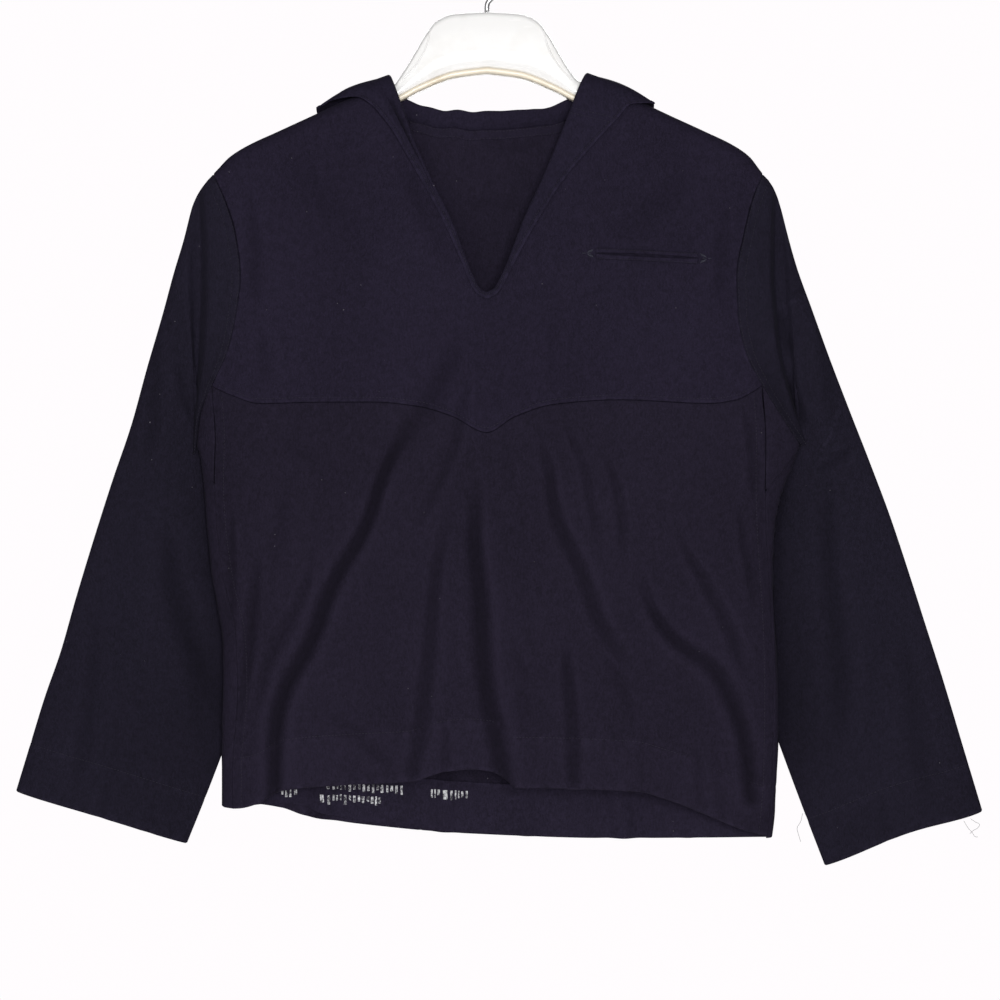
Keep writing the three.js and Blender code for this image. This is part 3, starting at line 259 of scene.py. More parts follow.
# Folds of the sleeves, in the same way
SLEEVE_FOLDS = [
    (FRONT, 8, 2.8, 0.2, 0.3, False, [(-288, -500), (-284, -570), (-262, -640), (-250, -690)]),
    (FRONT, 5, 1.8, 0.2, 0.3, False, [(-300, -320), (-297, -400), (-306, -480)]),
    (FRONT, 6, 1.6, 0.3, 0.2, False, [(-350, -600), (-356, -680), (-372, -770)]),
    (FRONT, 3.5, 1.2, 0.3, 0.3, True, [(-338, -742), (-342, -760), (-348, -782)]),
    (FRONT, 3.5, 1.0, 0.3, 0.3, True, [(-300, -760), (-302, -778), (-306, -800)]),
    (FRONT, 7, 2.6, 0.2, 0.4, False, [(304, -450), (306, -560), (318, -640), (316, -740)]),
    (FRONT, 5, 1.8, 0.3, 0.2, False, [(300, -310), (304, -380), (322, -450)]),
    (FRONT, 4, 1.6, 0.2, 0.3, False, [(268, -318), (284, -306), (296, -300)]),
    (FRONT, 8, 1.8, 0.2, 0.2, False, [(372, -600), (384, -690), (398, -790)]),
    (FRONT, 3.5, 1.0, 0.3, 0.3, True, [(352, -752), (356, -780), (362, -812)]),
    (FRONT, 3.5, 2.0, 0.4, 0.3, False, [(294, -470), (308, -462), (322, -452), (334, -440)]),
    (FRONT, 3.5, 1.6, 0.3, 0.3, False, [(-262, -430), (-272, -400), (-278, -360)]),
    (FRONT, 3, 2.4, 0.3, 0.3, False, [(262, -318), (266, -345), (276, -372)]),
    (FRONT, 3.4, 3.0, 0.3, 0.4, False, [(272, -376), (275, -402), (287, -434)]),
    (BACK, 7, 2.8, 0.3, 0.3, False, [(-270, -420), (-292, -540), (-318, -680)]),
    (BACK, 7, 2.8, 0.3, 0.3, False, [(280, -420), (304, -540), (334, -700)]),
    (BACK, 5, 1.8, 0.3, 0.3, False, [(-330, -520), (-350, -620), (-380, -720)]),
    (BACK, 5, 1.8, 0.3, 0.3, False, [(340, -520), (366, -640), (390, -750)]),
]


# Small mathematics

def mix(a, b, t):
    return a + (b - a) * t


def smooth(t):
    u = np.clip(t, 0, 1)
    return u * u * (3 - 2 * u)


def unit(v):
    return v / np.maximum(np.linalg.norm(v, axis=-1, keepdims=True), 1e-9)


def curve(rows, start, value):
    """A smooth curve through one column of a table against another, without overshoot."""
    order = sorted(rows, key=lambda row: row[start])
    x = np.array([row[start] for row in order], float)
    y = np.array([row[value] for row in order], float)
    slope = np.diff(y) / np.diff(x)
    tangent = np.concatenate([slope[:1], np.zeros(len(slope) - 1), slope[-1:]])
    product = slope[:-1] * slope[1:]
    total = np.where(product > 0, slope[:-1] + slope[1:], 1)
    tangent[1:-1] = np.where(product > 0, 2 * product / total, 0)

    def at(place):
        t = np.clip(place, x[0], x[-1])
        i = np.clip(np.searchsorted(x, t, side="left") - 1, 0, len(x) - 2)
        span = x[i + 1] - x[i]
        u = (t - x[i]) / span
        rise = y[i + 1] - y[i]
        cubic = tangent[i] + tangent[i + 1] - 2 * rise / span
        square = 3 * rise / span - 2 * tangent[i] - tangent[i + 1]
        return y[i] + span * u * (tangent[i] + u * (square + u * cubic))

    return at


body_left, body_right, body_front, body_back, body_blunt = (
    curve(BODY, "z", key) for key in ("left", "right", "front", "back", "blunt")
)
shoulder = curve(SHOULDER, "x", "z")
armhole = {LEFT: curve(ARMHOLE, "z", "left"), RIGHT: curve(ARMHOLE, "z", "right")}
side_seam = {LEFT: curve(SIDE_SEAM, "z", "left"), RIGHT: curve(SIDE_SEAM, "z", "right")}
yoke_seam = curve(YOKE_SEAM, "x", "z")
front_hem = curve(FRONT_HEM, "x", "z")
back_hem = curve(BACK_HEM, "x", "z")
stand_height = curve(STAND_HEIGHT, "s", "h")
hanger_half, hanger_top, hanger_bottom = (curve(HANGER, "x", key) for key in ("half", "top", "bottom"))


def half_width(z):
    return (body_right(z) - body_left(z)) / 2


def middle(z):
    return (body_right(z) + body_left(z)) / 2


def across(x, z):
    return np.clip((x - middle(z)) / half_width(z), -0.9999, 0.9999)


def cloud(x, z, size, seed):
    """Smooth random unevenness from -1 to 1 over places in mm."""
    lattice = np.random.default_rng(SEED + seed).uniform(-1, 1, (128, 128))
    gx, gz = x / size + 64, z / size + 64
    i, k = np.floor(gx).astype(int), np.floor(gz).astype(int)
    u, w = smooth(gx - i), smooth(gz - k)
    i, k = i % 127, k % 127
    low = mix(lattice[i, k], lattice[i + 1, k], u)
    high = mix(lattice[i, k + 1], lattice[i + 1, k + 1], u)
    return mix(low, high, w)


def rounded(path, passes=2):
    """A path with its corners cut."""
    points = np.array(path, float)
    for _ in range(passes):
        near = mix(points[:-1], points[1:], 0.25)
        far = mix(points[:-1], points[1:], 0.75)
        cut = np.stack([near, far], axis=1).reshape(-1, points.shape[1])
        points = np.concatenate([points[:1], cut[1:-1], points[-1:]])
    return points


def beside(x, z, path):
    """Signed distance from a path, and the share of its length, for arrays of places."""
    best = np.full(x.shape, np.inf)
    signed = np.zeros(x.shape)
    share = np.zeros(x.shape)
    steps = np.hypot(*np.diff(path, axis=0).T)
    run = 0.0
    for (ax, az), (bx, bz), length in zip(path[:-1], path[1:], steps):
        ux, uz = (bx - ax) / length, (bz - az) / length
        along = np.clip((x - ax) * ux + (z - az) * uz, 0, length)
        dx, dz = x - ax - along * ux, z - az - along * uz
        far = np.hypot(dx, dz)
        near = far < best
        best = np.where(near, far, best)
        signed = np.where(near, np.sign(ux * dz - uz * dx) * far, signed)
        share = np.where(near, (run + along) / steps.sum(), share)
        run += length
    return signed, share


def fold_form(x, z, face, folds):
    """How far the folds push a face out, in mm."""
    total = np.zeros(x.shape)
    for fold_face, width, deep, swell_low, swell_high, is_open, path in folds:
        points = rounded(path)
        reach = 4 * width
        inside = (
            (face == fold_face)
            & (x > points[:, 0].min() - reach) & (x < points[:, 0].max() + reach)
            & (z > points[:, 1].min() - reach) & (z < points[:, 1].max() + reach)
        )
        if not inside.any():
            continue
        signed, share = beside(x[inside], z[inside], points)
        wide = width * (0.75 + 0.5 * smooth(share / 0.6))
        u = signed / wide
        form = -np.exp(-u * u)
        form += swell_low * np.exp(-((u + 1.9) ** 2) / 1.1) + swell_high * np.exp(-((u - 1.9) ** 2) / 1.1)
        ends = smooth(share / 0.3)
        if not is_open:
            ends = ends * smooth((1 - share) / 0.3)
        total[inside] += deep * form * ends
    return total


def unevenness(x, z, face):
    """The slight waviness of hanging cloth, in mm."""
    seed = np.where(face == FRONT, 0, 1)
    broad = np.where(seed == 0, cloud(x, z * 0.6, 62, 1), cloud(x, z * 0.6, 62, 2))
    fine = np.where(seed == 0, cloud(x, z * 0.8, 21, 3), cloud(x, z * 0.8, 21, 4))
    return 0.9 * broad + 0.22 * fine


def depth(x, z, face):
    """Distance of the outer cloth from the plane of the hanger."""
    a = np.abs(across(x, z))
    drop = np.maximum(shoulder(x) - z, 0)
    roll = 7.5 + 4.5 * smooth(np.abs(x) / 225) + 1 + WALL
    rise = 1 - np.minimum(drop / roll, 1)
    lens = np.sqrt(1 - a ** body_blunt(z))
    full = np.where(face == FRONT, body_front(z), body_back(z))
    start = np.where(face == FRONT, 10, 45)
    hang = (full - roll) * smooth((drop - start) / 150)
    calm = smooth((1 - a) / 0.12) * smooth((drop - 20) / 60)
    relief = fold_form(x, z, face, FOLDS) + unevenness(x, z, face)
    return (roll * np.sqrt(1 - rise * rise) + hang) * lens + relief * calm


def skin(x, z, face):
    """Points of the outer cloth over arrays of x and z."""
    x, z = np.broadcast_arrays(np.asarray(x, float), np.asarray(z, float))
    face = np.broadcast_to(face, x.shape)
    low = np.minimum(z, shoulder(x))
    return np.stack([x, face * depth(x, low, face), low], axis=-1)


def skin_normal(x, z, face):
    """Outward normals of the outer cloth."""
    x, z = np.broadcast_arrays(np.asarray(x, float), np.asarray(z, float))
    face = np.broadcast_to(face, x.shape)
    step = 0.4
    probe = np.minimum(z, shoulder(x) - step)
    slope_x = (depth(x + step, probe, face) - depth(x - step, probe, face)) / (2 * step)
    slope_z = (depth(x, probe + step, face) - depth(x, probe - step, face)) / (2 * step)
    flat = np.where(z >= shoulder(x), 0, face)
    return unit(np.stack([-slope_x, flat, -slope_z], axis=-1))


def grid_normals(points, outward, ring=False):
    """Normals of a grid of points, all turned to the given side (1 or -1)."""
    grid = np.concatenate([points[:, -2:], points, points[:, :2]], axis=1) if ring else points
    along = np.gradient(grid, axis=1)
    down = np.gradient(grid, axis=0)
    if ring:
        along, down = along[:, 2:-2], down[:, 2:-2]
    return unit(np.cross(along, down)) * outward


# Meshes and pieces

def place_object(name, data):
    placed = bpy.data.objects.new(name, data)
    bpy.context.scene.collection.objects.link(placed)
    return placed


def new_piece(name, vertices, faces, material):
    """A mesh object from points in mm and a list or array of faces."""
    mesh = bpy.data.meshes.new(name)
    mesh.from_pydata((vertices * MM).tolist(), [], faces if isinstance(faces, list) else faces.tolist())
    mesh.validate()
    mesh.polygons.foreach_set("use_smooth", [True] * len(mesh.polygons))
    mesh.materials.append(material)
    piece = place_object(name, mesh)
    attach(piece, BODY_NAME)
    return piece


def grid_faces(rows, columns, ring, flip, start=0):
    """Quads over a grid of points."""
    i, j = np.meshgrid(np.arange(rows - 1), np.arange(columns if ring else columns - 1), indexing="ij")
    k = (j + 1) % columns
    here, below = i * columns, (i + 1) * columns
    quads = np.stack([here + j, below + j, below + k, here + k], axis=-1).reshape(-1, 4) + start
    return quads[:, ::-1] if flip else quads


def shell(name, points, normals, material, thickness=WALL, ring=False, flip=False, marks=None):
    """Closed cloth over a grid of outer points, its free edges rounded over."""
    rows, columns = points.shape[:2]
    thick = np.broadcast_to(np.asarray(thickness, float), (rows, columns)).copy()
    pinch = np.zeros((rows, columns))
    pinch[[0, -1]] = LIP_PINCH
    if not ring:
        pinch[:, [0, -1]] = LIP_PINCH
    outer = points - normals * (thick * pinch)[..., None]
    inner = points - normals * (thick * (1 - pinch))[..., None]
    count = rows * columns
    vertices = np.concatenate([outer.reshape(-1, 3), inner.reshape(-1, 3)])
    faces = [grid_faces(rows, columns, ring, flip), grid_faces(rows, columns, ring, not flip, count)]
    j = np.arange(columns if ring else columns - 1)
    foot = (rows - 1) * columns
    borders = [(j, (j + 1) % columns, 1), (foot + j, foot + (j + 1) % columns, -1)]
    if not ring:
        i = np.arange(rows - 1) * columns
        borders += [(i, i + columns, -1), (i + columns - 1, i + 2 * columns - 1, 1)]
    for a, b, turn in borders:
        quads = np.stack([a, b, b + count, a + count], axis=-1)
        faces.append(quads[:, ::-1] if (turn < 0) != flip else quads)
    piece = new_piece(name, vertices, np.concatenate(faces), material)
    for key, values in (marks or {}).items():
        flat = np.broadcast_to(np.asarray(values, float), (rows, columns)).reshape(-1)
        write_mark(piece, key, np.concatenate([flat, flat]))
    return piece


# No rubbed edges, no painted highlight and no painted shade
PLAIN_MARKS = {"edge": 0.0, "painted_highlight": 0.0, "crease": 0.0}


def patch(name, x, z, face, out, material, thickness, **marks):
    """A small piece of cloth laid on the front or back, its outer face moved out by a distance in mm."""
    points = skin(x, z, face)
    is_back = np.any(face == BACK)
    normals = grid_normals(points, 1 if is_back else -1)
    marks = {**PLAIN_MARKS, **marks}
    return shell(name, points + normals * out, normals, material, thickness, flip=is_back, marks=marks)


def write_mark(piece, key, values):
    """A value at each vertex, which the materials read."""
    layer = piece.data.attributes.new(key, "FLOAT", "POINT")
    layer.data.foreach_set("value", values.tolist())


def fold_marks(x, z, face, folds, edge=0.0, shade=0.0):
    """Marks for the shader: painted highlight on fold ridges, painted shade in fold troughs and wherever
    shade is given, and rubbed edges.
    """
    form = fold_form(x, z, face, folds)
    return {
        "painted_highlight": np.clip(form / CREST_FULL, 0, 1), "crease": np.clip(-form / CREASE_FULL + shade, 0, 1),
        "edge": np.broadcast_to(edge, x.shape),
    }


def flank_shade(beside_seam):
    """Painted shade, darker towards the side seams of the body."""
    return 0.14 * smooth((46 - beside_seam) / 46)


def lipped(count, length, first=True):
    """Even steps from 0 to 1 with a close step at an edge that is rounded over."""
    close = [LIP / length, 1 - LIP / length] if first else [1 - LIP / length]
    return np.unique(np.concatenate([np.linspace(0, 1, count + 1), close]))


# Shader nodes

def plug(tree, made, inputs):
    """A node's inputs set to values or linked to sockets."""
    for key, value in inputs.items():
        if isinstance(value, bpy.types.NodeSocket):
            tree.links.new(value, made.inputs[key])
        else:
            made.inputs[key].default_value = value
    return made


def node(tree, kind, inputs=None, **settings):
    """A new node with its settings and inputs."""
    made = tree.nodes.new(kind)
    for key, value in settings.items():
        setattr(made, key, value)
    return plug(tree, made, inputs or {})


def maths(tree, operation, a, b=0.0, clamp=False):
    return node(tree, "ShaderNodeMath", {0: a, 1: b}, operation=operation, use_clamp=clamp).outputs[0]


def drawn_out(tree, position, scale, turn=0.0):
    """The place on the piece, stretched so that what is made of it is longer along one axis."""
    inputs = {"Vector": position, "Rotation": (0.0, turn, 0.0), "Scale": scale}
    return node(tree, "ShaderNodeMapping", inputs).outputs[0]


def blend_colour(tree, factor, a, b):
    a, b = (colour if isinstance(colour, bpy.types.NodeSocket) else (*colour, 1) for colour in (a, b))
    return node(tree, "ShaderNodeMix", {"Factor": factor, 6: a, 7: b}, data_type="RGBA").outputs[2]


def add_shares(tree, *parts):
    """The sum of values, each given with its share."""
    total = None
    for value, share in parts:
        scaled = value if share == 1 else maths(tree, "MULTIPLY", value, share)
        total = scaled if total is None else maths(tree, "ADD", total, scaled)
    return total


def bump(tree, height, distance, strength=1.0):
    inputs = {"Height": height, "Distance": distance, "Strength": strength}
    return node(tree, "ShaderNodeBump", inputs).outputs["Normal"]


def between(tree, value, low, high):
    """0 at low, 1 at high, smooth between them."""
    return node(
        tree, "ShaderNodeMapRange", {"Value": value, "From Min": low, "From Max": high},
        interpolation_type="SMOOTHSTEP",
    ).outputs["Result"]


def effect(name, inputs, outputs, build):
    """A node group with named sockets. build(tree, sockets) gives its outputs by name."""
    tree = bpy.data.node_groups.new(name, "ShaderNodeTree")
    for label, kind, value in inputs:
        socket = tree.interface.new_socket(label, in_out="INPUT", socket_type=kind)
        if value is not None:
            socket.default_value = value
    for label, kind in outputs:
        tree.interface.new_socket(label, in_out="OUTPUT", socket_type=kind)
    entry = tree.nodes.new("NodeGroupInput")
    leave = tree.nodes.new("NodeGroupOutput")
    results = build(tree, entry.outputs)
    for label, _ in outputs:
        tree.links.new(results[label], leave.inputs[label])
    return tree


VALUE, VECTOR = "NodeSocketFloat", "NodeSocketVector"


def noise(tree, position, size, detail=3.0, rough=0.6):
    scale = maths(tree, "DIVIDE", 1.0, size)
    inputs = {"Vector": position, "Scale": scale, "Detail": detail, "Roughness": rough}
    return node(tree, "ShaderNodeTexNoise", inputs).outputs["Fac"]


def build_nap(tree, at):
    """Short matted fibres over a cloudy ground."""
    fibres = noise(tree, at["Position"], at["Fibre size"], 4.0, 0.75)
    stretched = drawn_out(tree, at["Position"], (1.0, 1.0, 0.4), 0.35)
    combed = noise(tree, stretched, at["Fibre size"], 2.0, 0.5)
    pills = noise(tree, at["Position"], at["Cloud size"], 4.0, 0.62)
    grain = add_shares(tree, (fibres, 0.6), (combed, 0.4))
    tone = add_shares(tree, (grain, 0.78), (pills, 0.22))
    return {"Tone": between(tree, tone, 0.36, 0.64), "Height": grain}


def build_fading(tree, at):
    """Broad uneven wear and brushing, in patches longer than they are wide."""
    drawn = drawn_out(tree, at["Position"], (1.0, 1.0, 0.55))
    return {"Tone": between(tree, noise(tree, drawn, at["Patch size"], 3.0, 0.55), 0.3, 0.7)}


def build_lint(tree, at):
    """Small pale specks, each in its own cell, and only in a few of the cells."""
    scale = maths(tree, "DIVIDE", 1.0, at["Spacing"])
    cells = node(tree, "ShaderNodeTexVoronoi", {"Vector": at["Position"], "Scale": scale})
    pick = node(tree, "ShaderNodeSeparateColor", {"Color": cells.outputs["Color"]}).outputs[0]
    chosen = maths(tree, "LESS_THAN", pick, at["Share"])
    size = maths(tree, "DIVIDE", at["Speck size"], at["Spacing"])
    near = maths(tree, "LESS_THAN", cells.outputs["Distance"], size)
    return {"Mask": maths(tree, "MULTIPLY", chosen, near)}


def build_worn_edge(tree, at):
    """Rubbed patches along seams and edges."""
    broken = between(tree, noise(tree, at["Position"], at["Patch size"], 4.0, 0.7), 0.42, 0.62)
    return {"Mask": maths(tree, "MULTIPLY", at["Edge"], broken, clamp=True)}


def build_handling(tree, at):
    """Fine scuffs and dull patches on smooth plastic."""
    streaks = drawn_out(tree, at["Position"], (0.12, 1.0, 1.0))
    fine = between(tree, noise(tree, streaks, at["Scuff size"], 2.0, 0.5), 0.6, 0.75)
    dull = noise(tree, at["Position"], at["Patch size"], 3.0, 0.5)
    rough = add_shares(tree, (at["Roughness"], 1), (dull, 0.12), (fine, 0.1))
    return {"Roughness": rough, "Height": fine, "Dust": dull}


PLACE = ("Position", VECTOR, None)
NAP = effect(
    "melton nap", [PLACE, ("Fibre size", VALUE, 0.0014), ("Cloud size", VALUE, 0.006)],
    [("Tone", VALUE), ("Height", VALUE)], build_nap,
)
FADING = effect("broad fading", [PLACE, ("Patch size", VALUE, 0.11)], [("Tone", VALUE)], build_fading)
LINT = effect(
    "lint specks", [PLACE, ("Spacing", VALUE, 0.016), ("Share", VALUE, 0.12), ("Speck size", VALUE, 0.0006)],
    [("Mask", VALUE)], build_lint,
)
WORN_EDGE = effect(
    "worn edge", [PLACE, ("Edge", VALUE, 0.0), ("Patch size", VALUE, 0.006)],
    [("Mask", VALUE)], build_worn_edge,
)
HANDLING = effect(
    "handled plastic",
    [PLACE, ("Scuff size", VALUE, 0.004), ("Patch size", VALUE, 0.03), ("Roughness", VALUE, 0.2)],
    [("Roughness", VALUE), ("Height", VALUE), ("Dust", VALUE)], build_handling,
)


def use(tree, group, **inputs):
    """A group placed in a material, its inputs given with underscores for spaces."""
    named = {key.replace("_", " "): value for key, value in inputs.items()}
    return node(tree, "ShaderNodeGroup", named, node_tree=group).outputs


def blank(name):
    """A new material, its tree, its shader and the place on the piece."""
    material = bpy.data.materials.new(name)
    material.use_nodes = True
    tree = material.node_tree
    shader = tree.nodes["Principled BSDF"]
    position = tree.nodes.new("ShaderNodeTexCoord").outputs["Object"]
    return material, tree, shader, position


def mark(tree, name):
    return node(tree, "ShaderNodeAttribute", attribute_name=name).outputs["Fac"]


def wool(name, colour, nap_depth=0.0006, lint_share=0.1):
    """Melton wool: matted nap, cloudy tone, rubbed edges, painted highlight on fold ridges, painted shade in
    fold troughs and other shaded places, and a little lint.
    """
    material, tree, shader, position = blank(name)
    dark, light, pale, deep = (
        tuple(share * channel for channel in colour) for share in (0.62, 1.38, 2.6, 0.25)
    )
    nap = use(tree, NAP, Position=position)
    fading = use(tree, FADING, Position=position)
    lint = use(tree, LINT, Position=position, Share=lint_share)
    fine_lint = use(tree, LINT, Position=position, Spacing=0.007, Share=0.05, Speck_size=0.0004)
    worn = use(tree, WORN_EDGE, Position=position, Edge=mark(tree, "edge"))
    # Painted highlight: the last share lightens the tone on fold ridges
    tone = add_shares(tree, (nap["Tone"], 0.8), (fading["Tone"], 0.2), (mark(tree, "painted_highlight"), 0.3))
    tone = blend_colour(tree, tone, dark, light)
    # Painted shade: the next mark darkens the colour towards a deep shade in fold troughs and shaded places
    colour = blend_colour(tree, maths(tree, "MULTIPLY", mark(tree, "crease"), 0.6), tone, deep)
    colour = blend_colour(tree, maths(tree, "MULTIPLY", worn["Mask"], 0.2), colour, pale)
    specks = maths(tree, "ADD", lint["Mask"], fine_lint["Mask"], clamp=True)
    colour = blend_colour(tree, maths(tree, "MULTIPLY", specks, 0.5), colour, (0.16, 0.15, 0.17))
    plug(tree, shader, {
        "Base Color": colour, "Roughness": add_shares(tree, (0.86, 1), (nap["Tone"], 0.12)),
        "Specular IOR Level": 0.06, "Sheen Weight": 0.012, "Sheen Roughness": 0.45,
        "Sheen Tint": (0.62, 0.6, 0.8, 1), "Normal": bump(tree, nap["Height"], nap_depth, 0.8),
    })
    return material


def thread_material(name, dark, light):
    """Twisted sewing thread."""
    material, tree, shader, position = blank(name)
    twist = noise(tree, position, 0.0006, 1.0, 0.5)
    plug(tree, shader, {
        "Base Color": blend_colour(tree, twist, dark, light), "Roughness": 0.62,
        "Specular IOR Level": 0.3, "Normal": bump(tree, twist, 0.0001),
    })
    return material


def worn_paint(name, cloth, chalk):
    """White marking paint, worn down into the cloth."""
    material, tree, shader, position = blank(name)
    nap = use(tree, NAP, Position=position)
    worn = between(tree, noise(tree, position, 0.004, 5.0, 0.75), 0.4, 0.56)
    kept = maths(tree, "MULTIPLY", worn, between(tree, nap["Tone"], 0.1, 0.6), clamp=True)
    colour = blend_colour(tree, kept, cloth, chalk)
    normal = bump(tree, nap["Height"], 0.0003)
    plug(tree, shader, {"Base Color": colour, "Roughness": 0.85, "Normal": normal})
    return material


def moulded_plastic(name, clean, dusty, roughness):
    """Glossy moulded plastic with scuffs from handling."""
    material, tree, shader, position = blank(name)
    handled = use(tree, HANDLING, Position=position, Roughness=roughness)
    dust = between(tree, handled["Dust"], 0.45, 0.75)
    plug(tree, shader, {
        "Base Color": blend_colour(tree, dust, clean, dusty), "Roughness": handled["Roughness"],
        "Coat Weight": 0.25, "Coat Roughness": 0.12, "Normal": bump(tree, handled["Height"], 0.00002, 0.3),
    })
    return material


def plated_steel(name):
    """Plated wire, drawn along its length."""
    material, tree, shader, position = blank(name)
    lines = noise(tree, drawn_out(tree, position, (1.0, 1.0, 0.08)), 0.0004, 2.0, 0.5)
    plug(tree, shader, {
        "Base Color": blend_colour(tree, lines, (0.56, 0.56, 0.57), (0.78, 0.78, 0.79)), "Metallic": 1.0,
        "Roughness": add_shares(tree, (0.18, 1), (lines, 0.16)),
    })
    return material


def pale_paint(name, colour):
    """Matt floor paint with a faint mottle."""
    material, tree, shader, position = blank(name)
    tint = tuple(0.96 * channel for channel in colour)
    mottled = blend_colour(tree, noise(tree, position, 0.4), colour, tint)
    plug(tree, shader, {"Base Color": mottled, "Roughness": 0.8})
    return material


WOOL_YOKE = wool("wool of the yoke", (0.0128, 0.0101, 0.0206))
WOOL_BODY = wool("wool of the body", (0.0121, 0.0096, 0.0186))
WOOL_SLEEVE = wool("wool of the sleeves", (0.0098, 0.0084, 0.0156))
# The collar's own colour, made a little darker as painted shade for the left side of the collar
WOOL_COLLAR = wool("wool of the collar", (0.0124, 0.0100, 0.0204))
# Cloth inside the jumper is painted lighter than the outside, to make up for the shade it lies in
WOOL_INSIDE_PAINTED_LIGHTER = wool("inside wool painted lighter", (0.0142, 0.0114, 0.0222), 0.0004, 0.05)
NAVY_THREAD = thread_material("navy thread", (0.007, 0.006, 0.011), (0.02, 0.017, 0.03))
TACK_THREAD = thread_material("tack thread", (0.012, 0.012, 0.02), (0.05, 0.05, 0.075))
LOOSE_THREAD = thread_material("loose thread", (0.03, 0.028, 0.036), (0.12, 0.115, 0.13))
MARKING = worn_paint("worn marking paint", (0.014, 0.012, 0.02), (0.55, 0.55, 0.57))
HANGER_WHITE = moulded_plastic("white plastic", (0.8, 0.795, 0.785), (0.74, 0.73, 0.71), 0.16)
# The bead under the plate is cream, and its colour also stands in for the shade on the plate's underside
RIM_CREAM_AND_SHADE = moulded_plastic("cream plastic and painted shade", (0.8, 0.72, 0.58), (0.7, 0.6, 0.45), 0.28)
HOOK_STEEL = plated_steel("plated steel")
FLOOR_PAINT = pale_paint("pale floor", (0.85, 0.84, 0.84))


# Neckline and collar

def collar_lines(side):
    rows = list(COLLAR_FRONT[side])
    for row in COLLAR_BACK:
        rows.append({
            "s": row["s"], "rollX": side * row["roll"], "rollZ": row["rollZ"], "edgeX": side * row["edge"],
            "edgeZ": row["edgeZ"], "lift": 5 * float(smooth((1.3 - row["s"]) / 0.3)),
        })
    return {key: curve(rows, "s", key) for key in ("rollX", "rollZ", "edgeX", "edgeZ", "lift")}


COLLAR_LINES = {side: collar_lines(side) for side in (LEFT, RIGHT)}


def neckline(s, side):
    """Roll line, edge, direction between them, neck seam and lift, for an array of s."""
    lines = COLLAR_LINES[side]
    s = np.asarray(s, float)
    roll = np.stack([lines["rollX"](s), lines["rollZ"](s)], axis=-1)
    edge = np.stack([lines["edgeX"](s), lines["edgeZ"](s)], axis=-1)
    out = unit(edge - roll)
    roll[..., 1] += 1.3 * cloud(roll[..., 0], 0 * s, 13, 9) * smooth((s - 1.3) / 0.15)
    reach = stand_height(s) + FOLD_RADIUS + WALL / 2
    return roll, edge, out, roll + out * reach[..., None], lines["lift"](s)


def neck_edge(s, side):
    """Where the cloth under the collar ends."""
    _, _, out, seam, _ = neckline(s, side)
    return seam + out * SEAM_SLACK


def close_at_start(t, angle):
    return (1 - np.cos(angle * t)) / (1 - np.cos(angle))


CORNER_ANGLE = np.arccos(1 - 2 * (SHOULDER_POINT_Z - YOKE_CORNER_Z) / (SHOULDER_POINT_Z - UNDERARM_Z))


def column_place(t):
    return mix(t, (1 - np.cos(np.pi * t)) / 2, 0.3)


def seam_top_x(t):
    return mix(YOKE_CORNER[LEFT], YOKE_CORNER[RIGHT], column_place(t))


def seam_bulge(distance, width=YOKE_STITCH, height=0.55, groove=0.4):
    """Raised seam allowance beside a seam, with the line of the topstitching pressed in."""
    raised = height * smooth((width + 1.6 - distance) / 1.6)
    return raised - groove * rub(distance - width, 0.9)


def rub(distance, width=2.2):
    """1 on an edge or line and falling away beside it: how rubbed or pressed in the cloth is, and how strong
    a painted shade or highlight along a line is.
    """
    return np.exp(-((np.asarray(distance) / width) ** 2))


def hem_rub(from_hem):
    """How rubbed a turned hem is, at its fold and along its stitching."""
    return np.maximum(rub(from_hem, 4), 0.6 * rub(from_hem - HEM_DEPTH + 2, 3))


def hem_wall(from_hem, full=HEM_WALL):
    """Thickness of the cloth, greater where the hem is turned."""
    return mix(WALL, full, smooth((HEM_DEPTH - from_hem) / 3))


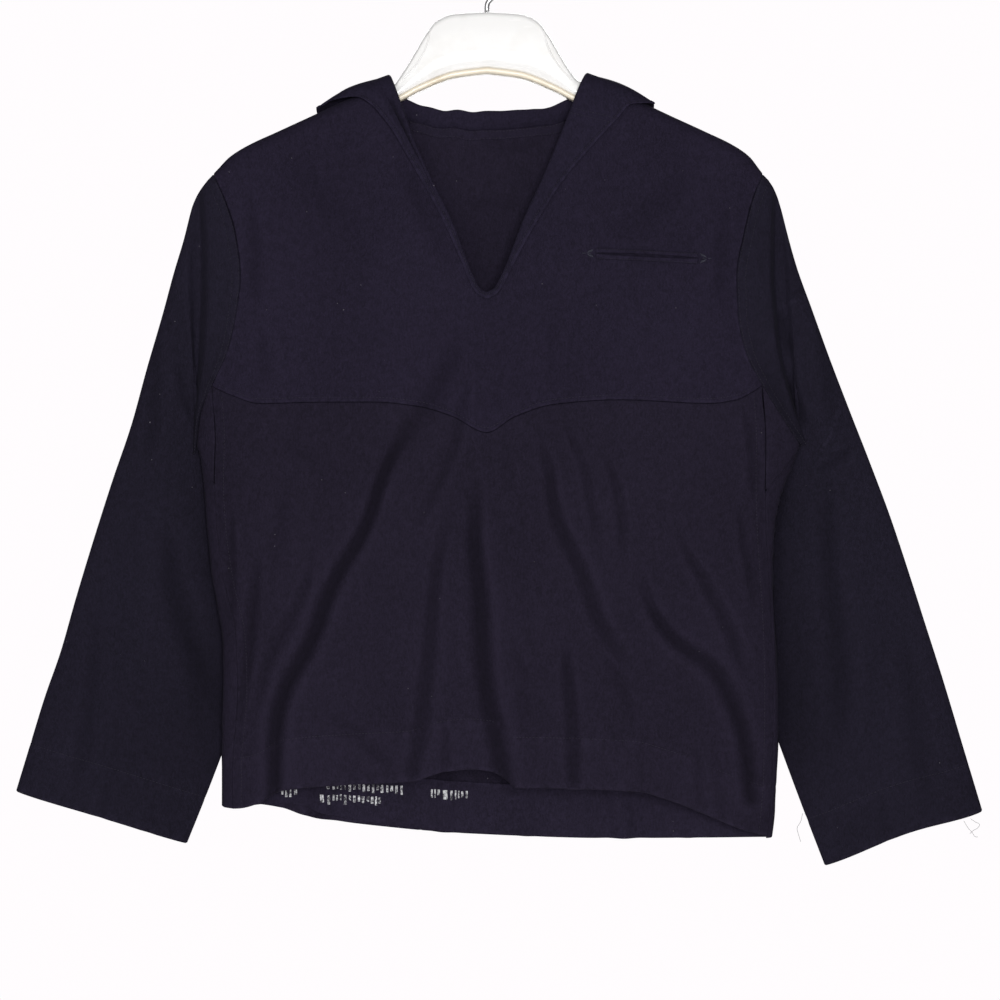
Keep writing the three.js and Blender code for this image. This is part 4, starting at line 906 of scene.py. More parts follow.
def front_yoke():
    rows, columns = lipped(110, 230, first=False), lipped(216, 500)
    t, u = np.meshgrid(rows, columns, indexing="ij")
    f = close_at_start(t, CORNER_ANGLE)
    grid = np.zeros((*t.shape, 2))
    for side in (LEFT, RIGHT):
        mine = u < 0.5 if side == LEFT else u >= 0.5
        w = 2 * u if side == LEFT else 2 * (1 - u)
        edge_x = armhole[side](SHOULDER_POINT_Z)
        neck_x = neckline(1.0, side)[3][0] + side * SEAM_SLACK
        s = (1 + np.cos(np.pi * np.clip((w - 0.5) / 0.5, 0, 1))) / 2
        neck = neck_edge(s, side)
        ridge_x = mix(edge_x, neck_x, np.clip(w / 0.5, 0, 1))
        top_x = np.where(w <= 0.5, ridge_x, neck[..., 0])
        top_z = np.where(w <= 0.5, shoulder(ridge_x), neck[..., 1])
        bottom_x = seam_top_x(u)
        bottom_z = yoke_seam(bottom_x) + HALF_GAP
        arm_z = mix(SHOULDER_POINT_Z, YOKE_CORNER_Z, f)
        straight = mix(edge_x, armhole[side](YOKE_CORNER_Z), f)
        pull = (armhole[side](arm_z) - straight) * np.clip(1 - w, 0, 1) ** 2
        grid[..., 0] = np.where(mine, mix(top_x, bottom_x, f) + pull, grid[..., 0])
        grid[..., 1] = np.where(mine, mix(top_z, bottom_z, f), grid[..., 1])
    x, z = grid[..., 0], grid[..., 1]
    points = skin(x, z, FRONT)
    normals = grid_normals(points, -1)
    above = z - yoke_seam(x)
    beside_arm = np.minimum(x - armhole[LEFT](z), armhole[RIGHT](z) - x)
    lift = seam_bulge(above) + seam_bulge(beside_arm, 3.4, 0.4, 0.3) * smooth((above - 4) / 6)
    points = points + normals * lift[..., None]
    edge = np.maximum(rub(above), rub(beside_arm))
    slit = np.interp(x, (POCKET["left"], POCKET["right"]), (POCKET["slit_left"], POCKET["slit_right"]))
    along = (x - POCKET["left"]) / (POCKET["right"] - POCKET["left"])
    # Painted shadow along the pocket slit, and painted shade towards the armholes
    shade = rub(z - slit, 2.2) * (np.abs(along - 0.5) < 0.5) + flank_shade(beside_arm + 14)
    marks = fold_marks(x, z, FRONT, FOLDS, edge, shade)
    return shell("front_yoke_cloth", points, grid_normals(points, -1), WOOL_YOKE, marks=marks)


def corner_stay(side):
    """A small stay of cloth behind the corner where yoke, front, gusset and sleeve meet."""
    span = np.linspace(-1, 1, 9) * STAY["half"]
    x, z = np.meshgrid(YOKE_CORNER[side] + span, YOKE_CORNER_Z - span, indexing="xy")
    name = f"corner_stay_{SIDE_NAME[side]}_cloth"
    # The stay is painted darker, as shade behind the corner
    return patch(name, x, z, FRONT, -WALL - STAY["clear"], WOOL_INSIDE_PAINTED_LIGHTER, STAY["thick"], crease=0.6)


def gusset_tip(side):
    return mix(YOKE_CORNER_Z, HEM_CORNER[side], GUSSET_SHARE)


def front_panel():
    rows, columns = lipped(150, 370), lipped(312, 490)
    v, u = np.meshgrid(rows, columns, indexing="ij")
    place = column_place(u)
    top_x = seam_top_x(u)
    foot_left = side_seam[LEFT](HEM_CORNER[LEFT])
    foot_right = side_seam[RIGHT](HEM_CORNER[RIGHT])
    foot = front_hem(mix(foot_left, foot_right, place))
    z = mix(yoke_seam(top_x) - HALF_GAP, foot, v)
    x = mix(top_x, mix(side_seam[LEFT](z), side_seam[RIGHT](z), place), smooth(v * 12))
    points = skin(x, z, FRONT)
    normals = grid_normals(points, -1)
    hem = z - foot
    beside_seam = np.minimum(x - side_seam[LEFT](z), side_seam[RIGHT](z) - x)
    lift = seam_bulge(beside_seam, SIDE_STITCH["far"], 0.4, 0.3) - 0.4 * rub(hem - HEM_DEPTH, 1.1)
    points = points + normals * lift[..., None]
    edge = np.maximum(hem_rub(hem), 0.7 * rub(beside_seam))
    # Painted shade towards the side seams, and the turned hem painted lighter
    marks = fold_marks(x, z, FRONT, FOLDS, edge, flank_shade(beside_seam))
    marks["painted_highlight"] = np.clip(marks["painted_highlight"] + 0.4 * smooth((HEM_DEPTH - 1 - hem) / 3), 0, 1)
    normals = grid_normals(points, -1)
    return shell("front_panel_cloth", points, normals, WOOL_BODY, hem_wall(hem), marks=marks)


def gusset_edge(z, side):
    tip = gusset_tip(side)
    t = np.clip((UNDERARM_Z - z) / (UNDERARM_Z - tip), 0, 1)
    end = across(side_seam[side](tip), tip)
    wrapped = middle(z) + half_width(z) * mix(side, end, t)
    return np.where(z >= UNDERARM_Z, armhole[side](z), wrapped)


def gusset(side):
    tip = gusset_tip(side) + 3
    v, u = np.meshgrid(np.linspace(0, 1, 44), np.linspace(0, 1, 14), indexing="ij")
    z = mix(YOKE_CORNER_Z - 0.2, tip, v)
    x = mix(side_seam[side](z) - 0.3 * side * HALF_GAP, gusset_edge(z, side) - side * HALF_GAP, u)
    points = skin(x, z, FRONT)
    name = f"gusset_{SIDE_NAME[side]}_cloth"
    edge = np.maximum(rub(60 * u), rub(60 * (1 - u)))
    marks = fold_marks(x, z, FRONT, FOLDS, edge)
    return shell(name, points, grid_normals(points, side), WOOL_BODY, flip=side < 0, marks=marks)


def back_edge(z, side):
    """Where the back ends, across the body: beyond 1 it has come round to the front."""
    tip = gusset_tip(side)
    above = across(armhole[side](z), z)
    line = np.where(z <= tip, side_seam[side](z), gusset_edge(z, side))
    return np.where(z > UNDERARM_Z, above, 2 * side - across(line, z))


NECK_S = np.linspace(2, 1, 200)
NECK_CURVE = {side: neck_edge(NECK_S, side) for side in (LEFT, RIGHT)}


def back_top(x):
    """Top of the back, under the collar at the neck and at the shoulder line beside it."""
    left = np.interp(np.abs(x), np.abs(NECK_CURVE[LEFT][:, 0]), NECK_CURVE[LEFT][:, 1])
    right = np.interp(np.abs(x), np.abs(NECK_CURVE[RIGHT][:, 0]), NECK_CURVE[RIGHT][:, 1])
    neck = np.minimum(np.where(x < 0, left, right), shoulder(x))
    return np.where(np.abs(x) >= NECK_REACH, shoulder(x), neck)


def back_places(m, z):
    inside = np.abs(m) <= 1
    a = np.where(inside, m, 2 * np.sign(m) - m)
    return middle(z) + half_width(z) * a, np.where(inside, BACK, FRONT)


def back_grid():
    places = lipped(230, 520)
    t, place = np.meshgrid(np.linspace(0, 1, 72), places, indexing="ij")
    f = (1 - np.cos(np.pi * t ** 1.25)) / 2
    edge_z = mix(SHOULDER_POINT_Z, UNDERARM_Z, f)
    m = mix(back_edge(edge_z, LEFT), back_edge(edge_z, RIGHT), place)
    m[-1] = mix(back_edge(UNDERARM_Z + 0.01, LEFT), back_edge(UNDERARM_Z + 0.01, RIGHT), places)
    top_z = np.full(places.shape, float(SHOULDER_POINT_Z))
    for _ in range(6):
        top_z = back_top(middle(top_z) + half_width(top_z) * m[0])
    z = mix(top_z, UNDERARM_Z, f)
    upper_x, upper_face = back_places(m, z)
    v, place = np.meshgrid(lipped(92, 350, first=False)[1:], places, indexing="ij")
    line_left = mix(UNDERARM_Z, HEM_CORNER[LEFT], v)
    line_right = mix(UNDERARM_Z, HEM_CORNER[RIGHT], v)
    foot = back_hem(mix(*BACK_FOOT, place))
    lower_z = mix(UNDERARM_Z, foot, v)
    m = mix(back_edge(line_left, LEFT), back_edge(line_right, RIGHT), place)
    lower_x, lower_face = back_places(m, lower_z)
    x = np.concatenate([upper_x, lower_x])
    z = np.concatenate([z, lower_z])
    return x, z, np.concatenate([upper_face, lower_face])


def back_panel():
    x, z, face = back_grid()
    points = skin(x, z, face)
    hem = z - back_hem(x)
    groove = 0.4 * rub(hem - HEM_DEPTH, 1.1)
    points = points - grid_normals(points, 1) * groove[..., None]
    marks = fold_marks(x, z, face, FOLDS, hem_rub(hem))
    thick = hem_wall(hem, BACK_HEM_WALL)
    normals = grid_normals(points, 1)
    return shell("back_panel_cloth", points, normals, WOOL_BODY, thick, flip=True, marks=marks)


def hem_facing():
    u, v = np.meshgrid(lipped(150, 460), lipped(20, 46), indexing="xy")
    m = mix(-0.93, 0.95, u)
    low = back_hem(mix(*BACK_FOOT, u)) + FACING["raise"]
    z = low + FACING["height"] * (1 - v)
    x, face = back_places(m, z)
    inward = -BACK_HEM_WALL - 2 * HALF_GAP
    edge = rub(z - low - FACING["height"], 3)
    # The facing is painted lighter through its material, against the shade inside the hem
    return patch("hem_facing_cloth", x, z, face, inward, WOOL_INSIDE_PAINTED_LIGHTER, FACING["thick"], edge=edge)


def neck_tape():
    u, v = np.meshgrid(lipped(60, 132), lipped(6, 9), indexing="xy")
    x = mix(-TAPE["half"], TAPE["half"], u)
    z = back_top(x) + (0.5 - v) * TAPE["height"] - 2
    # The tape is painted a little darker, as shade inside the neck
    return patch("neck_tape_cloth", x, z, BACK, -WALL - HALF_GAP, WOOL_INSIDE_PAINTED_LIGHTER, TAPE["thick"], crease=0.25)


# Sleeves

SECTION_CURVES = {
    side: {
        key: curve([{"i": i, **row} for i, row in enumerate(SLEEVE[side])], "i", key)
        for key in SECTION.split()
    }
    for side in (LEFT, RIGHT)
}
LAST_SECTION = len(SLEEVE[LEFT]) - 1
CUFF_BOW = {LEFT: 1.2, RIGHT: 5.0}
# Short paler streaks on the front of the right sleeve
PALE_STREAKS = {LEFT: [], RIGHT: [[(316, -409), (312, -428), (301, -451)], [(265, -320), (290, -312)]]}


def sleeve_surface(side, q, angle):
    """Sleeve points for section number q and angle round the ring, with the folds."""
    at = {key: line(q) for key, line in SECTION_CURVES[side].items()}
    t = (1 - np.cos(angle)) / 2
    is_front = np.sin(angle) >= 0
    reach = np.where(is_front, -at["front"] * (1 - 0.45 * t ** 3), at["back"])
    swell = np.abs(np.sin(angle)) ** 0.8
    y = mix(at["midOut"], at["midIn"], t ** 1.3) + reach * swell
    seam_x = armhole[side](mix(SHOULDER_POINT_Z, UNDERARM_Z, t))
    straight_x = mix(armhole[side](SHOULDER_POINT_Z), armhole[side](UNDERARM_Z), t)
    x = mix(at["outX"], at["inX"], t) + at["follow"] * (seam_x - straight_x)
    z = mix(at["outZ"], at["inZ"], t)
    face = np.where(is_front, FRONT, BACK)
    push = fold_form(x, z, face, SLEEVE_FOLDS) + unevenness(x + 40 * side, z, face)
    y = y + face * push * swell * smooth((q - 1.2) / 2)
    z = z + CUFF_BOW[side] * np.sin(np.pi * t) ** 2 * smooth((q - 11) / (LAST_SECTION - 11))
    return np.stack([x, y, z], axis=-1)


def sleeve_grid(side):
    angles = np.linspace(0, 2 * np.pi, 160, endpoint=False)
    ring_z = mix(SHOULDER_POINT_Z, UNDERARM_Z, (1 - np.cos(angles)) / 2)
    ring_face = np.where(angles < np.pi, FRONT, BACK)
    seam = skin(armhole[side](ring_z), ring_z, ring_face)
    shift = 1.6 * HALF_GAP + 4 * HALF_GAP * smooth((UNDERARM_Z + 12 - ring_z) / 12)
    seam[:, 0] += side * shift
    seam[0, 1] = 0
    sections = np.concatenate([np.linspace(0, 3, 25), np.linspace(3, LAST_SECTION, 140)[1:]])
    sections = np.concatenate([sections[:-1], [LAST_SECTION - 0.02], sections[-1:]])
    q, angle = np.meshgrid(sections, angles, indexing="ij")
    body = sleeve_surface(side, q, angle)
    starts = [seam, mix(seam, body[0], 0.15), mix(seam, body[0], 0.5), mix(seam, body[0], 0.8)]
    return np.concatenate([np.stack(starts), body])


def sleeve(side):
    points = sleeve_grid(side)
    normals = grid_normals(points, side, ring=True)
    from_cuff = np.linalg.norm(points - points[-1:], axis=-1)
    groove = 0.4 * rub(from_cuff - HEM_DEPTH, 1.2)
    points = points - normals * groove[..., None]
    thick = hem_wall(from_cuff)
    thick[: len(points) // 2] = WALL
    normals = grid_normals(points, side, ring=True)
    face = np.where(normals[..., 1] < 0, FRONT, BACK)
    from_seam = np.linalg.norm(points - points[:1], axis=-1)
    edge = np.maximum(hem_rub(from_cuff), rub(from_seam))
    # Painted shade on the inner side of the sleeve and beside the armhole seam
    inward = (1 - np.cos(np.linspace(0, 2 * np.pi, points.shape[1], endpoint=False))) / 2
    shade = 0.5 * smooth((inward - 0.55) / 0.35) * smooth((from_cuff - 40) / 120)
    shade += 0.08 * rub(from_seam, 26) * smooth((-270 - points[..., 2]) / 60)
    for path in PALE_STREAKS[side]:
        off, _ = beside(points[..., 0], points[..., 2], np.array(path, float))
        edge = np.maximum(edge, 2.5 * rub(off, 1.3) * (face == FRONT))
    marks = fold_marks(points[..., 0], points[..., 2], face, SLEEVE_FOLDS, edge, shade)
    # Painted light on the sleeve's cap, which the lamps leave darker
    painted_cap_light = 0.55 * smooth((130 - from_seam) / 130) * smooth((points[..., 2] + 520) / 160)
    marks["painted_highlight"] = np.maximum(marks["painted_highlight"], painted_cap_light)
    name = f"sleeve_{SIDE_NAME[side]}_cloth"
    shell(name, points, normals, WOOL_SLEEVE, thick, ring=True, flip=side > 0, marks=marks)
    return points, normals


# Sailor collar

PIECING_STATION, PIECING_START = 0.82, 12


def distance_back(points):
    """Distance of each grid point from the last one of its row, along the row."""
    steps = np.linalg.norm(np.diff(points[:, ::-1], axis=1), axis=-1)
    run = np.concatenate([np.zeros((len(points), 1)), np.cumsum(steps, axis=1)], axis=1)
    return run[:, ::-1]


COLLAR_STATIONS = np.concatenate([
    (1 - np.cos(np.linspace(0, np.pi, 96))) / 2, np.linspace(1.004, 1.5, 76), np.linspace(1.5, 2, 56)[1:]
])


def collar_grid():
    """Middle surface of the collar: places across it by stations all the way round the neck."""
    s = COLLAR_STATIONS
    falls = np.concatenate([[0.02], np.linspace(0.05, 1, 70)])
    sides = []
    for side in (LEFT, RIGHT):
        _, edge, out, seam, lift = neckline(s, side)
        face = np.where(s <= 1, FRONT, BACK)
        base = skin(seam[:, 0], seam[:, 1], face)
        normal = skin_normal(seam[:, 0], seam[:, 1], face)
        ahead = seam + out * 2
        next_point = skin(ahead[:, 0], np.minimum(ahead[:, 1], shoulder(ahead[:, 0])), face)
        outward = unit(next_point - base)
        inner = -WALL / 2
        height = stand_height(s)
        columns = [(np.zeros_like(s), np.full_like(s, inner)), (-height * 0.55, np.full_like(s, inner))]
        for turn in np.linspace(-90, 90, 13):
            angle = np.radians(turn)
            columns.append((
                -height - FOLD_RADIUS * np.cos(angle),
                inner + FOLD_RADIUS + FOLD_RADIUS * np.sin(angle) + lift * 0.5 * (turn + 90) / 180,
            ))
        points = [base + outward * e[:, None] + normal * n[:, None] for e, n in columns]
        width = np.linalg.norm(edge - seam, axis=-1)
        for t in falls:
            x = mix(seam[:, 0], edge[:, 0], t)
            z = np.where(s == 1, shoulder(x), mix(seam[:, 1], edge[:, 1], t))
            over = lift * (0.55 + 0.45 * np.sin(np.pi * np.minimum(t * 1.1, 1)))
            rest = FALL_OFFSET - WALL / 2 + over * smooth(width / 12)
            points.append(skin(x, z, face) + skin_normal(x, z, face) * rest[:, None])
        sides.append(np.stack(points, axis=1))
    left, right = sides
    return np.swapaxes(np.concatenate([left[::-1], right[1:-1]]), 0, 1)


def collar():
    points = collar_grid()
    normals = grid_normals(points, -1, ring=True)
    outer = points + normals * WALL / 2
    from_edge = distance_back(np.swapaxes(outer, 0, 1)).T
    # Painted shade along the line of topstitching and painted highlight on the rolled edge; the edge mark is
    # rubbed wear
    crease = 0.5 * rub(from_edge - COLLAR_STITCH, 1)
    marks = {"edge": rub(from_edge, 3.5), "painted_highlight": 0.35 * rub(from_edge - 2, 3), "crease": crease}
    groove = 0.35 * rub(from_edge - COLLAR_STITCH, 0.9)
    outer = outer - normals * groove[..., None]
    shell("sailor_collar_cloth", outer, normals, WOOL_COLLAR, WALL, ring=True, flip=True, marks=marks)
    return np.swapaxes(outer, 0, 1), np.swapaxes(normals, 0, 1)


# Breast pocket

def welt(is_upper):
    u, v = np.meshgrid(lipped(44, 91), lipped(6, 4.5), indexing="xy")
    x = mix(POCKET["left"], POCKET["right"], u)
    slit = mix(POCKET["slit_left"], POCKET["slit_right"], u)
    gape = WELT["slit"] + WELT["gape"] * np.sin(np.pi * u)
    if is_upper:
        z = slit + gape / 2 + (WELT["height"] - gape / 2) * (1 - v)
    else:
        z = slit - gape / 2 - (WELT["lower"] - gape / 2) * v
    name = "welt_upper_cloth" if is_upper else "welt_lower_cloth"
    return patch(name, x, z, FRONT, WELT["offset"], WOOL_YOKE, WELT["thick"], edge=0.5)


# Hanger

def hanger_profile(x):
    far = np.abs(x)
    give = 0.8 + 2 * smooth((118 - far) / 15) + 14 * smooth((far - 192) / 44)
    seat = shoulder(x) - WALL - give
    return np.maximum(hanger_top(far), seat), hanger_bottom(far), hanger_half(far)


def loft(name, rings, material):
    """A closed body through rings of equal size."""
    rings = np.array(rings)
    rows, columns = rings.shape[:2]
    faces = grid_faces(rows, columns, True, False).tolist()
    faces.append(list(range(columns)))
    faces.append([(rows - 1) * columns + j for j in reversed(range(columns))])
    return new_piece(name, rings.reshape(-1, 3), faces, material)


def hanger_plate():
    rings = []
    for x in np.linspace(-HANGER_REACH, HANGER_REACH, 160):
        top, bottom, half = (float(value) for value in hanger_profile(x))
        rounding = min(half, (top - bottom) * 0.6)
        ring = []
        for angle in np.linspace(0, np.pi, 17):
            ring.append((x, half * np.cos(angle), top - rounding + rounding * np.sin(angle)))
        ring += [(x, -half, mix(top - rounding, bottom + 1.5, t)) for t in (0.33, 0.66, 1)]
        ring += [(x, 1.5 - half, bottom), (x, half - 1.5, bottom)]
        ring += [(x, half, mix(bottom + 1.5, top - rounding, t)) for t in (0, 0.33, 0.66)]
        rings.append(ring)
    return loft("hanger_plate", rings, HANGER_WHITE)


def hanger_rim():
    rings = []
    for x in np.linspace(-RIM["reach"], RIM["reach"], 80):
        _, bottom, half = (float(value) for value in hanger_profile(x))
        wide = half + RIM["extra"]
        top = bottom - 2 * HALF_GAP
        foot = top - RIM["height"]
        flank = [(wide, foot + 1.5), (wide, top - 1), (wide - 1, top)]
        mirrored = [(-y, z) for y, z in reversed(flank)]
        rings.append([(x, y, z) for y, z in (*flank, *mirrored, (1.5 - wide, foot), (wide - 1.5, foot))])
    return loft("hanger_rim_bead", [ring[::-1] for ring in rings], RIM_CREAM_AND_SHADE)


# Thread

def sew(name, runs, material=None, pitch=STITCH_PITCH, radius=STITCH_RADIUS):
    """Stitches along runs of (points, normals) on the cloth, all in one piece."""
    sides, rise = 4, (-0.25, 0.1, 0.1, -0.25)
    reach, thick = (-0.5, -0.34, 0.34, 0.5), (0.55, 1, 1, 0.55)
    angles = np.arange(sides) * 2 * np.pi / sides
    vertices = []
    for points, normals in runs:
        run = np.concatenate([[0], np.cumsum(np.linalg.norm(np.diff(points, axis=0), axis=-1))])
        count = int(run[-1] / pitch)
        if count < 1:
            continue
        middles = (np.arange(count) + 0.5) * run[-1] / count
        half = pitch * STITCH_SHARE / 2
        centre, ahead, behind, up = (
            np.stack([np.interp(at, run, values[:, axis]) for axis in range(3)], axis=-1)
            for at, values in (
                (middles, points), (middles + half, points), (middles - half, points), (middles, normals))
        )
        along = unit(ahead - behind)
        up = unit(up - along * np.sum(up * along, axis=-1, keepdims=True))
        side = np.cross(along, up)
        for share, high, wide in zip(reach, rise, thick):
            spot = centre + along * share * pitch * STITCH_SHARE + up * high
            for angle in angles:
                vertices.append(spot + (side * np.cos(angle) + up * np.sin(angle)) * radius * wide)
        rings = np.stack(vertices[-sides * len(reach):], axis=1)
        del vertices[-sides * len(reach):]
        vertices.append(rings.reshape(-1, 3))
    vertices = np.concatenate(vertices)
    block = sides * len(reach)
    one = grid_faces(len(reach), sides, True, False)
    last = block - sides
    caps = [(3, 2, 1, 0), (last, last + 1, last + 2, last + 3)]
    one = np.concatenate([one, np.array(caps)])
    starts = np.arange(len(vertices) // block)[:, None, None] * block
    return new_piece(name, vertices, (one[None] + starts).reshape(-1, 4), material or NAVY_THREAD)


def on_skin(x, z, face, lift=0.0):
    """A run of points and normals over the body cloth."""
    x, z = np.broadcast_arrays(np.asarray(x, float), np.asarray(z, float))
    normals = skin_normal(x, z, face)
    return skin(x, z, face) + normals * lift, normals


def along_grid(points, normals, distance):
    """The run at a distance from the last point of each row of a grid."""
    back = distance_back(points)
    both = np.concatenate([points, normals], axis=-1)
    rows = np.array([
        [np.interp(distance, row_back[::-1], row[::-1, axis]) for axis in range(6)]
        for row_back, row in zip(back, both)
    ])
    return rows[:, :3], rows[:, 3:]


def yoke_stitching():
    x = np.linspace(-240, 240, 300)
    sew("stitching_yoke", [on_skin(x, yoke_seam(x) + YOKE_STITCH, FRONT, 0.1)])


def hem_stitching():
    x = np.linspace(-222, 249, 300)
    sew("stitching_front_hem", [on_skin(x, front_hem(x) + HEM_DEPTH, FRONT, -0.3)])
    x = np.linspace(-232, 250, 300)
    sew("stitching_back_hem", [on_skin(x, back_hem(x) + HEM_DEPTH, BACK, -0.3)])


def side_stitching():
    runs = []
    for side in (LEFT, RIGHT):
        z = np.linspace(-402, HEM_CORNER[side] + 3, 200)
        runs.append(on_skin(side_seam[side](z) - side * SIDE_STITCH["far"], z, FRONT, 0.05))
        runs.append(on_skin(side_seam[side](z) - side * SIDE_STITCH["near"], z, FRONT, 0.1))
    sew("stitching_sides", runs)


def sleeve_stitching(side, points, normals):
    """The felled armhole seam and the cuff's hem, on both faces of the sleeve."""
    columns = (np.swapaxes(points, 0, 1), np.swapaxes(normals, 0, 1))
    cuff = along_grid(*columns, HEM_DEPTH)
    upward = [part[:, ::-1] for part in columns]
    armhole_rows = [along_grid(*upward, ARMHOLE_STITCH[place]) for place in ("far", "near")]
    loops = [tuple(np.concatenate([part, part[:1]]) for part in run) for run in (cuff, *armhole_rows)]
    sew(f"stitching_sleeve_{SIDE_NAME[side]}", loops)


def collar_stitching(points, normals):
    """Topstitching round the edge, and the short seam that pieces the right front of the collar."""
    runs = [along_grid(points, normals, COLLAR_STITCH)]
    station = len(COLLAR_STATIONS) - 1 + np.argmin(np.abs(COLLAR_STATIONS - PIECING_STATION))
    for row in (station - 1, station + 1):
        outward = normals[row, PIECING_START:]
        runs.append((points[row, PIECING_START:] + outward * 0.05, outward))
    sew("stitching_collar", runs)


def neck_stitching():
    x = np.linspace(-TAPE["half"], TAPE["half"], 120)
    runs = []
    for drop in (TAPE["height"] / 2 + 0.8, -TAPE["height"] / 2 + 3.2):
        points, normals = on_skin(x, back_top(x) - drop, BACK, -(WALL + HALF_GAP + TAPE["thick"]))
        runs.append((points, -normals))
    sew("stitching_neck", runs)


def pocket_stitching():
    """Edge stitching round the pocket and an arrowhead tack at each end."""
    left, right = POCKET["left"], POCKET["right"]
    x = np.linspace(left, right, 60)
    slit = mix(POCKET["slit_left"], POCKET["slit_right"], (x - left) / (right - left))
    lift = WELT["offset"] + 0.05
    inset = WELT["slit"] / 2
    edges = (slit + WELT["height"] - inset, slit - WELT["lower"] + inset)
    sew("stitching_pocket", [on_skin(x, edge, FRONT, lift) for edge in edges], pitch=2.2)
    bars = []
    for end, slit_z, side in ((left, POCKET["slit_left"], LEFT), (right, POCKET["slit_right"], RIGHT)):
        base = end + side * TACK["from_slit"]
        for t in np.linspace(0, 1, 9):
            half = mix(TACK["wide"], TACK["narrow"], t) * (0.85 if side == LEFT else 1)
            at = base + side * TACK["length"] * t
            for up in (1, -1):
                x, z = (at, at + side * TACK["slant"]), (slit_z + up * half, slit_z)
                bars.append(on_skin(x, z, FRONT, TACK["proud"]))
        x = (base + side * 2, end + side * TACK["stem"])
        bars.append(on_skin(x, (slit_z, slit_z), FRONT, TACK["proud"]))
    sew("tacks_pocket", bars, TACK_THREAD, pitch=4.2, radius=0.26)


def strand(points, radius=0.16, sides=5, steps=40, flat_start=False):
    """Vertices and faces of a round wire or thread with rounded ends, smoothed through the points."""
    path = rounded(points, 3)
    run = np.concatenate([[0], np.cumsum(np.linalg.norm(np.diff(path, axis=0), axis=-1))])
    ends = np.array([0.01, 0.12, 0.35, 0.65]) * radius
    starts = np.array([0, 0.01]) if flat_start else ends
    body = np.linspace(radius, run[-1] - radius, steps)
    stations = np.concatenate([starts, body, run[-1] - ends[::-1]])
    path = np.stack([np.interp(stations, run, path[:, axis]) for axis in range(3)], axis=-1)
    from_end = (run[-1] - stations) if flat_start else np.minimum(stations, run[-1] - stations)
    wide = radius * np.sqrt(1 - (1 - np.minimum(from_end / radius, 1)) ** 2)
    if flat_start:
        wide[0] = 0.02 * radius
    along = unit(np.gradient(path, axis=0))
    side = unit(np.cross(along, (0.0, 1.0, 0.001)))
    up = np.cross(side, along)
    angles = np.arange(sides) * 2 * np.pi / sides
    rings = path[:, None] + wide[:, None, None] * (
        side[:, None] * np.cos(angles)[None, :, None] + up[:, None] * np.sin(angles)[None, :, None]
    )
    return rings.reshape(-1, 3), grid_faces(len(path), sides, True, False)


def strands(name, paths, material, **shape):
    """Several wires or threads in one piece."""
    vertices, faces, count = [], [], 0
    for path in paths:
        points, quads = strand(path, **shape)
        vertices.append(points)
        faces.append(quads + count)
        count += len(points)
    return new_piece(name, np.concatenate(vertices), np.concatenate(faces), material)


def hanger_hook():
    """The shank, which sways out and turns over the rail."""
    path = [(0, 0, HOOK["shank_bottom"]), (0, 0, HOOK["shank_top"])]
    radius = HOOK["bend"] + HOOK["wire"] / 2
    for degrees in range(-52, 188, 10):
        angle = np.radians(degrees)
        path.append((radius * np.cos(angle), 0, radius * np.sin(angle) - HOOK["bend"]))
    shape = {"radius": HOOK["wire"] / 2, "sides": 24, "steps": 120, "flat_start": True}
    return strands("hook_wire", [path], HOOK_STEEL, **shape)


def hanger_ribs():
    """A low moulded rib along each flank of the plate, on both faces."""
    paths = []
    for side in (LEFT, RIGHT):
        for face in (FRONT, BACK):
            rib = [(side * x, z) for x, z in RIB_PATH]
            paths.append([(x, face * (float(hanger_profile(x)[2]) + RIB_PROUD), z) for x, z in rib])
    return strands("hanger_ribs", paths, HANGER_WHITE, radius=RIB_RADIUS, sides=10)


def loose_threads():
    """Ends of thread that hang from the right cuff's hem."""
    paths = [
        [(283, -8, -776), (281, -11, -784), (277, -12, -788), (279, -12, -795), (281, -11, -801)],
        [(428, -6, -783), (431, -9, -789), (435, -10, -793), (437, -10, -797), (440, -9, -797)],
        [(434, -6, -781), (438, -9, -784), (442, -10, -785), (440, -10, -789), (436, -9, -791),
         (433, -9, -794)],
    ]
    strands("loose_threads", paths, LOOSE_THREAD)


def marking_bars():
    """Plain white bars of random width and height, worn by their paint, in rows inside the back hem."""
    shapes = np.random.default_rng(SEED + 40)
    rows = table(
        "left right top height", (-186, -172, -755, 9), (-146, -78, -749, 9), (-150, -96, -760, 9),
        (-51, -18, -756, 9),
    )
    vertices, faces = [], []
    inside = -(BACK_HEM_WALL + 2 * HALF_GAP + FACING["thick"] + 0.12)
    for row in rows:
        x = row["left"]
        while x < row["right"]:
            width = shapes.uniform(1.6, 2.6)
            tall = row["height"] * shapes.uniform(0.55, 1.0)
            top = row["top"] - 0.06 * (x - row["left"]) - shapes.uniform(0, 1.0)
            u, v = np.meshgrid(np.linspace(0, 1, 4), np.linspace(0, 1, 6), indexing="xy")
            bar_x, bar_z = x + width * u, top - tall * v
            points, normals = on_skin(bar_x, bar_z, BACK, inside)
            start = sum(len(part) for part in vertices)
            under = points + normals * 0.1
            vertices.append(np.concatenate([points.reshape(-1, 3), under.reshape(-1, 3)]))
            faces += [grid_faces(6, 4, False, False, start), grid_faces(6, 4, False, True, start + 24)]
            x += width + shapes.uniform(1.4, 2.6)
    new_piece("marking_bars", np.concatenate(vertices), np.concatenate(faces), MARKING)


# The pieces

front_yoke()
front_panel()
back_panel()
for side in (LEFT, RIGHT):
    gusset(side)
for side in (LEFT, RIGHT):
    sleeve_stitching(side, *sleeve(side))
collar_stitching(*collar())
for side in (LEFT, RIGHT):
    corner_stay(side)
neck_tape()
hem_facing()
welt(True)
welt(False)
hanger_plate()
hanger_rim()
hanger_hook()
hanger_ribs()

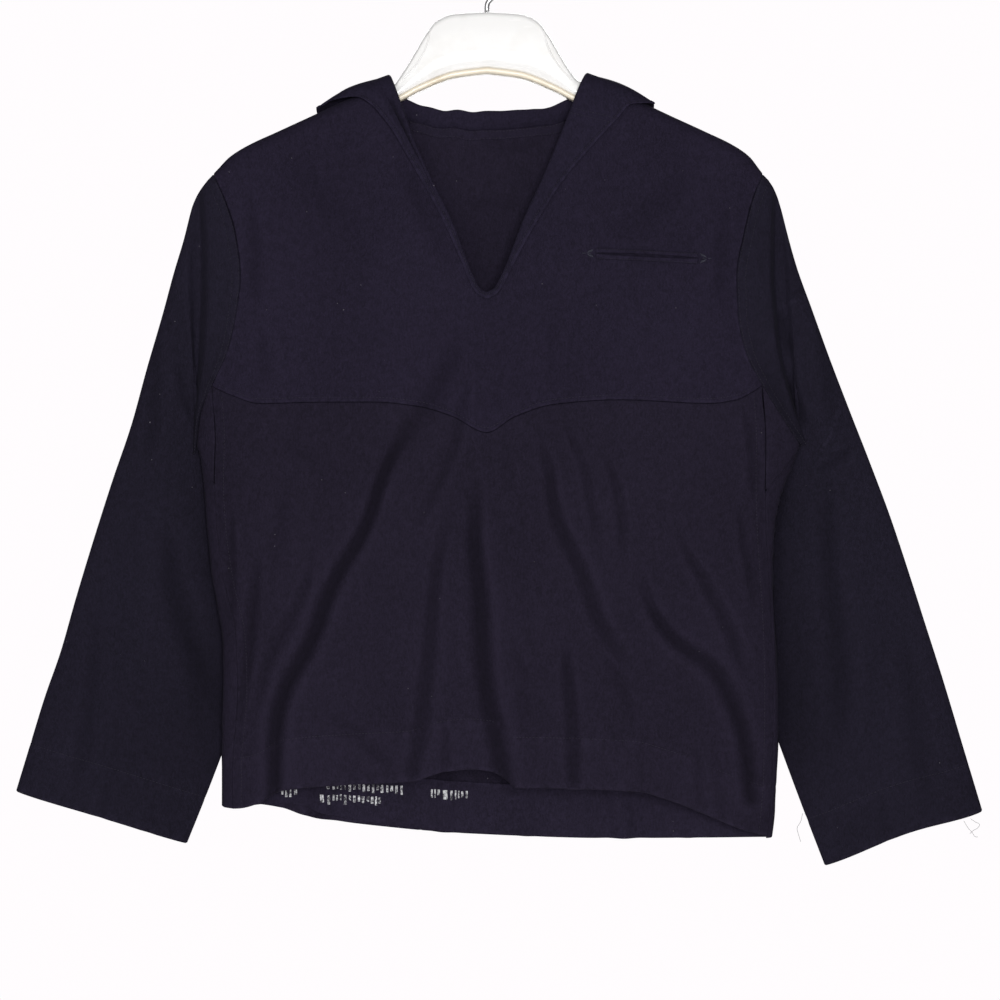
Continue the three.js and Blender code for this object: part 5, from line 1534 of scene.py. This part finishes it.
CLOTH_SOLIDS = (
    "front_yoke", "front_panel", "back_panel", "gusset_left", "gusset_right", "sleeve_left", "sleeve_right",
    "sailor_collar", "neck_tape", "hem_facing", "welt_upper", "welt_lower",
)
for solid in CLOTH_SOLIDS:
    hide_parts(solid)
for name, solid in (
    ("hanger_plate", "hanger_body"), ("hanger_rim_bead", "hanger_rim"), ("hook_wire", "hanger_hook"),
):
    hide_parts(solid)

yoke_stitching()
hem_stitching()
side_stitching()
neck_stitching()
pocket_stitching()
loose_threads()
marking_bars()


# Floor, light and camera

def pale_floor():
    mesh = bpy.data.meshes.new("floor")
    half, low = 3.4, -1.75
    corners = [(-half, -half, low), (half, -half, low), (half, half, low), (-half, half, low)]
    mesh.from_pydata(corners, [], [(0, 1, 2, 3)])
    mesh.materials.append(FLOOR_PAINT)
    place_object("floor", mesh)


def area_light(name, place, target, size, power):
    light = bpy.data.lights.new(name, "AREA")
    light.shape = "DISK"
    light.size = size
    light.energy = power
    lamp = place_object(name, light)
    lamp.location = place
    lamp.rotation_euler = (Vector(target) - Vector(place)).to_track_quat("-Z", "Y").to_euler()


ROOM = {"light": 0.22, "seen": 1.0}
CAMERA = {"x": 0.0117, "z": -0.495, "away": 2.2, "across": 0.9, "sensor": 36}


def camera():
    data = bpy.data.cameras.new("camera")
    data.sensor_width = CAMERA["sensor"]
    data.lens = CAMERA["sensor"] * CAMERA["away"] / CAMERA["across"]
    eye = place_object("camera", data)
    eye.location = (CAMERA["x"], -CAMERA["away"], CAMERA["z"])
    eye.rotation_euler = (np.pi / 2, 0, 0)
    bpy.context.scene.camera = eye


def pale_room():
    """A pale room that lights softly and shows bright behind the object."""
    world = bpy.data.worlds.new("pale room")
    world.use_nodes = True
    tree = world.node_tree
    seen = tree.nodes.new("ShaderNodeLightPath").outputs["Is Camera Ray"]
    strength = maths(tree, "ADD", ROOM["light"], maths(tree, "MULTIPLY", seen, ROOM["seen"] - ROOM["light"]))
    back = tree.nodes["Background"]
    back.inputs["Color"].default_value = (1.0, 0.975, 0.99, 1)
    tree.links.new(strength, back.inputs["Strength"])
    bpy.context.scene.world = world


pale_floor()
camera()
centre = (0.01, 0, -0.45)
area_light("key", (0.25, -3.1, -0.35), centre, 1.2, 74)
area_light("fill", (-1.4, -2.7, 0.4), centre, 1.5, 16)
area_light("rear", (0.3, 2.4, 0.6), centre, 2.0, 42)
pale_room()
bpy.context.scene.view_settings.view_transform = "Standard"
